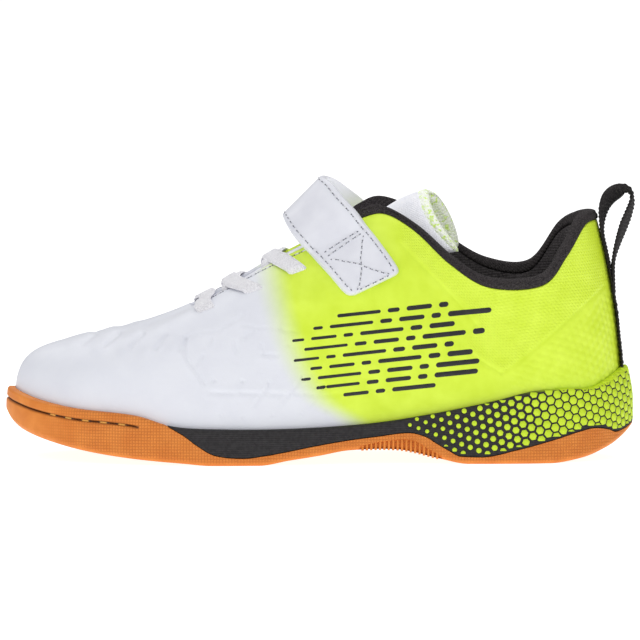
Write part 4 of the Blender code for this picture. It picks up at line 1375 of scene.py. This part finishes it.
# Seams of the strap as straight lines: first and last fold, share across it from the rear at each end
Seam = namedtuple("Seam", "first last start end")
SEAM_STEPS = 60
STRAP_SEAMS = (
    Seam(0.55, 11.45, 0.1, 0.1),
    Seam(0.55, 11.45, 0.9, 0.9),
    Seam(0.55, 0.55, 0.12, 0.88),
    Seam(11.45, 11.45, 0.12, 0.88),
    Seam(2.72, 2.72, 0.12, 0.88),
    Seam(2.98, 2.98, 0.12, 0.88),
    Seam(0.65, 2.6, 0.15, 0.85),
    Seam(0.65, 2.6, 0.85, 0.15),
)


def rest_on_wall(tree, point, gap):
    """Move a point sideways until it lies outside the upper."""
    side = math.copysign(1.0, point[1])
    hit = side_ray(tree, point[0], point[2], side)[0]
    if hit is not None and side * point[1] < side * hit.y + gap:
        return np.array((point[0], hit.y + side * gap, point[2]))
    return point


def soften(grid, rounds):
    """Even out small dents of a grid, keeping its border."""
    for _ in range(rounds):
        mean = (grid[:-2, 1:-1] + grid[2:, 1:-1] + grid[1:-1, :-2] + grid[1:-1, 2:]) / 4
        grid[1:-1, 1:-1] = mean
    return grid


def make_strap(tree, finish, underside_finish, thread):
    folds = smooth_line(STRAP, STRAP_STEPS)
    from_rear = np.linspace(0, 1, STRAP_COLUMNS)[None, :, None]
    grid = folds[:, None, 3:] * (1 - from_rear) + folds[:, None, :3] * from_rear
    for row in grid:
        row[:] = [rest_on_wall(tree, point, STRAP_CLEAR) for point in row]
    grid = soften(grid, STRAP_SOFTENINGS)
    shape = Shape()
    outer = add_slab(shape, grid, STRAP_THICK, STRAP_EDGE, flat_of(grid), (0, 1))
    strap = shape.make("instep_strap", "white_synthetic", [finish, underside_finish],
                       merge=0.002, sharp=75.0)
    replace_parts(strap, "strap")
    normals = grid_normals(outer)
    seams = Shape()
    for seam in STRAP_SEAMS:
        folds = np.linspace(seam.first, seam.last, SEAM_STEPS)
        shares = np.linspace(seam.start, seam.end, SEAM_STEPS)
        rows = np.round(folds * STRAP_STEPS).astype(int)
        columns = np.round(shares * (STRAP_COLUMNS - 1)).astype(int)
        stitch_along(seams, outer[rows, columns], normals[rows, columns])
    make_stitches(seams, "strap_seams", "white_synthetic", thread)


# Laces: the slot each strand comes from, the row where it passes the rim, and the row it heads for
Strand = namedtuple("Strand", "slot_row slot_level rim_row end_row")
LACE_BAR = Strand(4.98, 0.755, 3.77, 3.77)
LACE_CROSSES = (Strand(6.22, 0.77, 5.0, 4.75), Strand(7.17, 0.8, 6.33, 6.0))
LACE_LIFT = 0.6
LACE_CROWN = 0.2
LACE_RIM_SHARE = 0.25
LACE_SQUARE_FROM = 0.4
LACE_STEPS = 72
LACE_SIDES = 9
LACE_TUCK = 3.4
LACE_DIP = (0.0, 0.05)
LACE_BAR_END = (0.95, 1.0)
LACE_CROSS_END = (0.62, 0.76)
LACE_CROSS_SHARE = 0.79
LACE_CROSS_LIFT = LACE_THICK + 0.2
LACE_CROSS_HALF = 0.1
LACE_FACE = 0.15
LACE_CROWN_SHARE = 0.8
LACE_BACK_SHARE = 0.97
LACE_EVENINGS = (4, 14)


def lace_place(strand, share, mirrored):
    """Point over throat and tongue, its outward direction and the rim's own direction there."""
    if share > 1 - LACE_RIM_SHARE:
        opposite = strand._replace(rim_row=strand.end_row)
        return lace_place(opposite, 1 - share, not mirrored)
    part = min(share / LACE_RIM_SHARE, 1.0)
    where = strand.slot_row + (strand.rim_row - strand.slot_row) * part
    level = strand.slot_level + (1.0 - strand.slot_level) * part
    over = max(share - LACE_RIM_SHARE, 0.0) / (1 - 2 * LACE_RIM_SHARE)
    start = TURN - where if mirrored else where
    end = strand.end_row if mirrored else TURN - strand.end_row
    point = wall(start, level)
    out = wall_frame(start, level)[1]
    rim_way = unit(wall(start + ROW_STEP, level) - wall(start - ROW_STEP, level))
    if over > 0:
        point = point * (1 - over) + wall(end, 1.0) * over
        out = unit(out * (1 - over) + wall_frame(end, 1.0)[1] * over)
        point = point + UP * LACE_CROWN * math.sin(math.pi * over)
    return point + out * LACE_LIFT, out, rim_way


def evened(line, rounds):
    """Line of points or directions with each one drawn towards its neighbours."""
    for _ in range(rounds):
        line[1:-1] = (line[:-2] + 2 * line[1:-1] + line[2:]) / 4
    return line


def add_strand(shape, strand, share_to, end_dip, mirrored, lift):
    """Flat woven strand: it dips into its slot, and its far end tucks under the other rim."""
    shares = np.linspace(0, share_to, LACE_STEPS + 1)
    places = [lace_place(strand, share, mirrored) for share in shares]
    centres, outs, rim_ways = (np.array(column) for column in zip(*places))
    dip = LACE_TUCK * (1 - ease(*LACE_DIP, shares) + ease(*end_dip, shares))
    over = lift * hump(shares - 0.5, LACE_CROSS_HALF)
    centres = evened(centres + outs * (over - dip)[:, None], LACE_EVENINGS[0])
    outs = unit(evened(outs, LACE_EVENINGS[1]))
    square = unit(np.cross(np.gradient(centres, axis=0), outs))
    slanted = rim_ways * np.sign(np.sum(rim_ways * square, axis=-1, keepdims=True))
    turned = ease(0.0, LACE_SQUARE_FROM, np.minimum(shares, 1 - shares))[:, None]
    sideways = unit(evened(slanted * (1 - turned) + square * turned, LACE_EVENINGS[1]))
    face = np.linspace(-1, 1, LACE_SIDES)
    crown = LACE_FACE + LACE_THICK * LACE_CROWN_SHARE * np.sqrt(np.clip(1 - np.abs(face) ** 8, 0, 1))
    width = np.concatenate([face, face[::-1] * LACE_BACK_SHARE]) * LACE_WIDTH / 2
    rings = sweep(centres, sideways, outs, width, np.concatenate([crown, 0 * crown]))
    shape.tube(rings, vector(run_length(centres)[:, None], width))


def make_laces(finish):
    shape = Shape()
    add_strand(shape, LACE_BAR, 1.0, LACE_BAR_END, False, 0.0)
    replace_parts(shape.make("lace_first", "white_lace", [finish], merge=0.002, sharp=70.0), "lace_bar_1")
    for number, strand in enumerate(LACE_CROSSES, start=2):
        shape = Shape()
        for mirrored, lift in ((True, 0.0), (False, LACE_CROSS_LIFT)):
            add_strand(shape, strand, LACE_CROSS_SHARE, LACE_CROSS_END, mirrored, lift)
        lace = shape.make("lace_pair_%d" % number, "white_lace", [finish], merge=0.002, sharp=70.0)
        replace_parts(lace, "lace_cross_%d" % number)


# Heel loop: webbing up the back, round its loop and down again, as (x, z, turn of its face)
LoopPoint = namedtuple("LoopPoint", "x z turn")
LOOP_TAPE_FOOT = 30.6
LOOP_TAPE_TOP = 66.0
LOOP_TAPE_STEPS = 120
LOOP_TAPE_LIFT = 0.35
LOOP_TAPE_THICK = 0.9
LOOP_PATH = (
    LoopPoint(97.1, 64.0, 0),
    LoopPoint(95.85, 70.0, 0),
    LoopPoint(94.85, 74.5, 2),
    LoopPoint(94.7, 79.0, 8),
    LoopPoint(95.4, 83.6, 22),
    LoopPoint(97.2, 87.2, 33),
    LoopPoint(99.8, 89.2, 33),
    LoopPoint(102.5, 89.9, 20),
    LoopPoint(104.4, 88.5, 4),
    LoopPoint(104.6, 85.6, -8),
    LoopPoint(103.4, 81.5, -15),
    LoopPoint(101.9, 77.5, -17),
    LoopPoint(99.7, 70.8, -9),
    LoopPoint(98.5, 65.5, -2),
    LoopPoint(98.4, 60.0, 0),
    LoopPoint(98.6, 55.0, 0),
)
LOOP_THICK = 1.3
LOOP_STEPS = 14
LOOP_RIB = 0.16
LOOP_RIB_PITCH = 1.3
LOOP_COLUMNS = 9
LOOP_EDGE = 0.02
LOOP_RIBBED_FROM = 0.3


def add_webbing(shape, centres, across_ways, thick):
    """Ribbed strip along a path, its width along the given directions."""
    outs = unit(np.cross(unit(np.gradient(centres, axis=0)), across_ways))
    run = run_length(centres)
    rib = LOOP_RIB * np.cos(run * 2 * math.pi / LOOP_RIB_PITCH)
    over = np.linspace(-1, 1, LOOP_COLUMNS)
    face = thick / 2 * np.sqrt(np.clip(1 - np.abs(over) ** 6, LOOP_EDGE, 1))
    height = face + rib[:, None] * (face > LOOP_RIBBED_FROM * thick)
    width = np.concatenate([over, -over]) * LOOP_WIDTH / 2
    rings = sweep(centres, across_ways, outs, width, np.concatenate([height, -height], axis=1))
    shape.tube(rings, vector(run[:, None], np.concatenate([over, over]) * LOOP_WIDTH / 2))


def make_pull_loop(tree, finish):
    side = np.array((0.0, 1.0, 0.0))
    shape = Shape()
    tape = []
    for z in np.linspace(LOOP_TAPE_FOOT, LOOP_TAPE_TOP, LOOP_TAPE_STEPS):
        hit = tree.ray_cast(Vector((2 * HEEL.sole_x, 0.0, z)), Vector((-1, 0, 0)))[0]
        tape.append((hit.x + LOOP_TAPE_LIFT, 0.0, z))
    add_webbing(shape, np.array(tape), np.broadcast_to(side, (len(tape), 3)), LOOP_TAPE_THICK)
    path = smooth_line(LOOP_PATH, LOOP_STEPS)
    centres = vector(path[:, 0], 0.0, path[:, 1])
    runs = unit(np.gradient(centres, axis=0))
    outwards = np.cross(runs, side)
    turn = np.radians(path[:, 2])[:, None]
    add_webbing(shape, centres, side * np.cos(turn) - outwards * np.sin(turn), LOOP_THICK)
    loop = shape.make("webbing_loop", "black_webbing", [finish], merge=0.002, sharp=70.0)
    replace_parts(loop, "pull_loop")


# Stage and camera: the photo's angle, from far off with a long lens
AIM = (0.25, 0.0, 45.9)
DISTANCE = 5000.0
ELEVATION = 4.5
VIEW_WIDTH = 214.4
SENSOR = 36.0
FLOOR_HALF = 4.0
PAPER = (184, 184, 184)
PAPER_GLOW = 0.88


def add_camera():
    data = bpy.data.cameras.new("photo_camera")
    data.sensor_width = SENSOR
    data.lens = SENSOR * DISTANCE / VIEW_WIDTH
    data.clip_start = 0.01
    camera = new_object("photo_camera", data)
    turn = math.radians(ELEVATION)
    aim = Vector(AIM) * MM
    camera.location = aim + Vector((0, -math.cos(turn), math.sin(turn))) * DISTANCE * MM
    camera.rotation_euler = (math.radians(90 - ELEVATION), 0, 0)
    bpy.context.scene.camera = camera


Lamp = namedtuple("Lamp", "name place size power")
LAMPS = (
    Lamp("key", (-0.6, -0.9, 1.0), 1.2, 5.7),
    Lamp("fill", (0.9, -1.0, 0.7), 1.2, 3.6),
    Lamp("top", (-0.1, 0.6, 1.2), 1.6, 10.2),
)
LAMP_AIM = Vector((0, 0, 0.04))
AIR = 0.34


def add_lights():
    scene = bpy.context.scene
    world = bpy.data.worlds.new("studio")
    world.use_nodes = True
    sky = world.node_tree.nodes["Background"]
    sky.inputs["Color"].default_value = (1.0, 1.0, 1.0, 1.0)
    sky.inputs["Strength"].default_value = AIR
    scene.world = world
    scene.view_settings.view_transform = "Standard"
    for lamp in LAMPS:
        data = bpy.data.lights.new(lamp.name, "AREA")
        data.energy = lamp.power
        data.size = lamp.size
        light = new_object(lamp.name, data)
        light.location = lamp.place
        light.rotation_euler = (LAMP_AIM - light.location).to_track_quat("-Z", "Y").to_euler()


def add_floor():
    """White paper that gives off a soft light of its own."""
    finish = Finish("white_paper", PAPER, roughness=0.8)
    finish.surface({"Emission Color": (1.0, 1.0, 1.0, 1.0), "Emission Strength": PAPER_GLOW})
    corners = [(x * FLOOR_HALF, y * FLOOR_HALF, 0.0) for x, y in ((-1, -1), (1, -1), (1, 1), (-1, 1))]
    mesh = bpy.data.meshes.new("floor")
    mesh.from_pydata(corners, [], [(0, 1, 2, 3)])
    mesh.materials.append(finish.material)
    floor = new_object("floor", mesh)


def make_shoe():
    gum = gum_finish()
    make_outsole(gum)
    make_ribs(gum)
    make_midsole(foam_finish())
    make_cells(plain_finish("cell_paint"))
    tree = make_upper(upper_finish(), lining_finish())
    white_thread = thread_finish("white_thread", WHITE_THREAD, NEEDLE_HOLE_SHADE)
    make_eyestay_seam(white_thread)
    make_toe_thread(thread_finish("gold_thread", GOLD_THREAD, GUM_SLIT_SHADE))
    make_print(tree, plain_finish("print_film"))
    make_cuff(plain_finish("black_knit"))
    make_tongue(plain_finish("white_textile"), plain_finish("tongue_mesh"))
    make_insole(plain_finish("insole_textile"))
    make_strap(tree, plain_finish("white_synthetic"), plain_finish("strap_loops"), white_thread)
    make_laces(plain_finish("white_lace"))
    make_pull_loop(tree, plain_finish("black_webbing"))


def main():
    for thing in list(bpy.data.objects):
        bpy.data.objects.remove(thing, do_unlink=True)
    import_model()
    add_camera()
    add_lights()
    add_floor()
    make_shoe()


main()
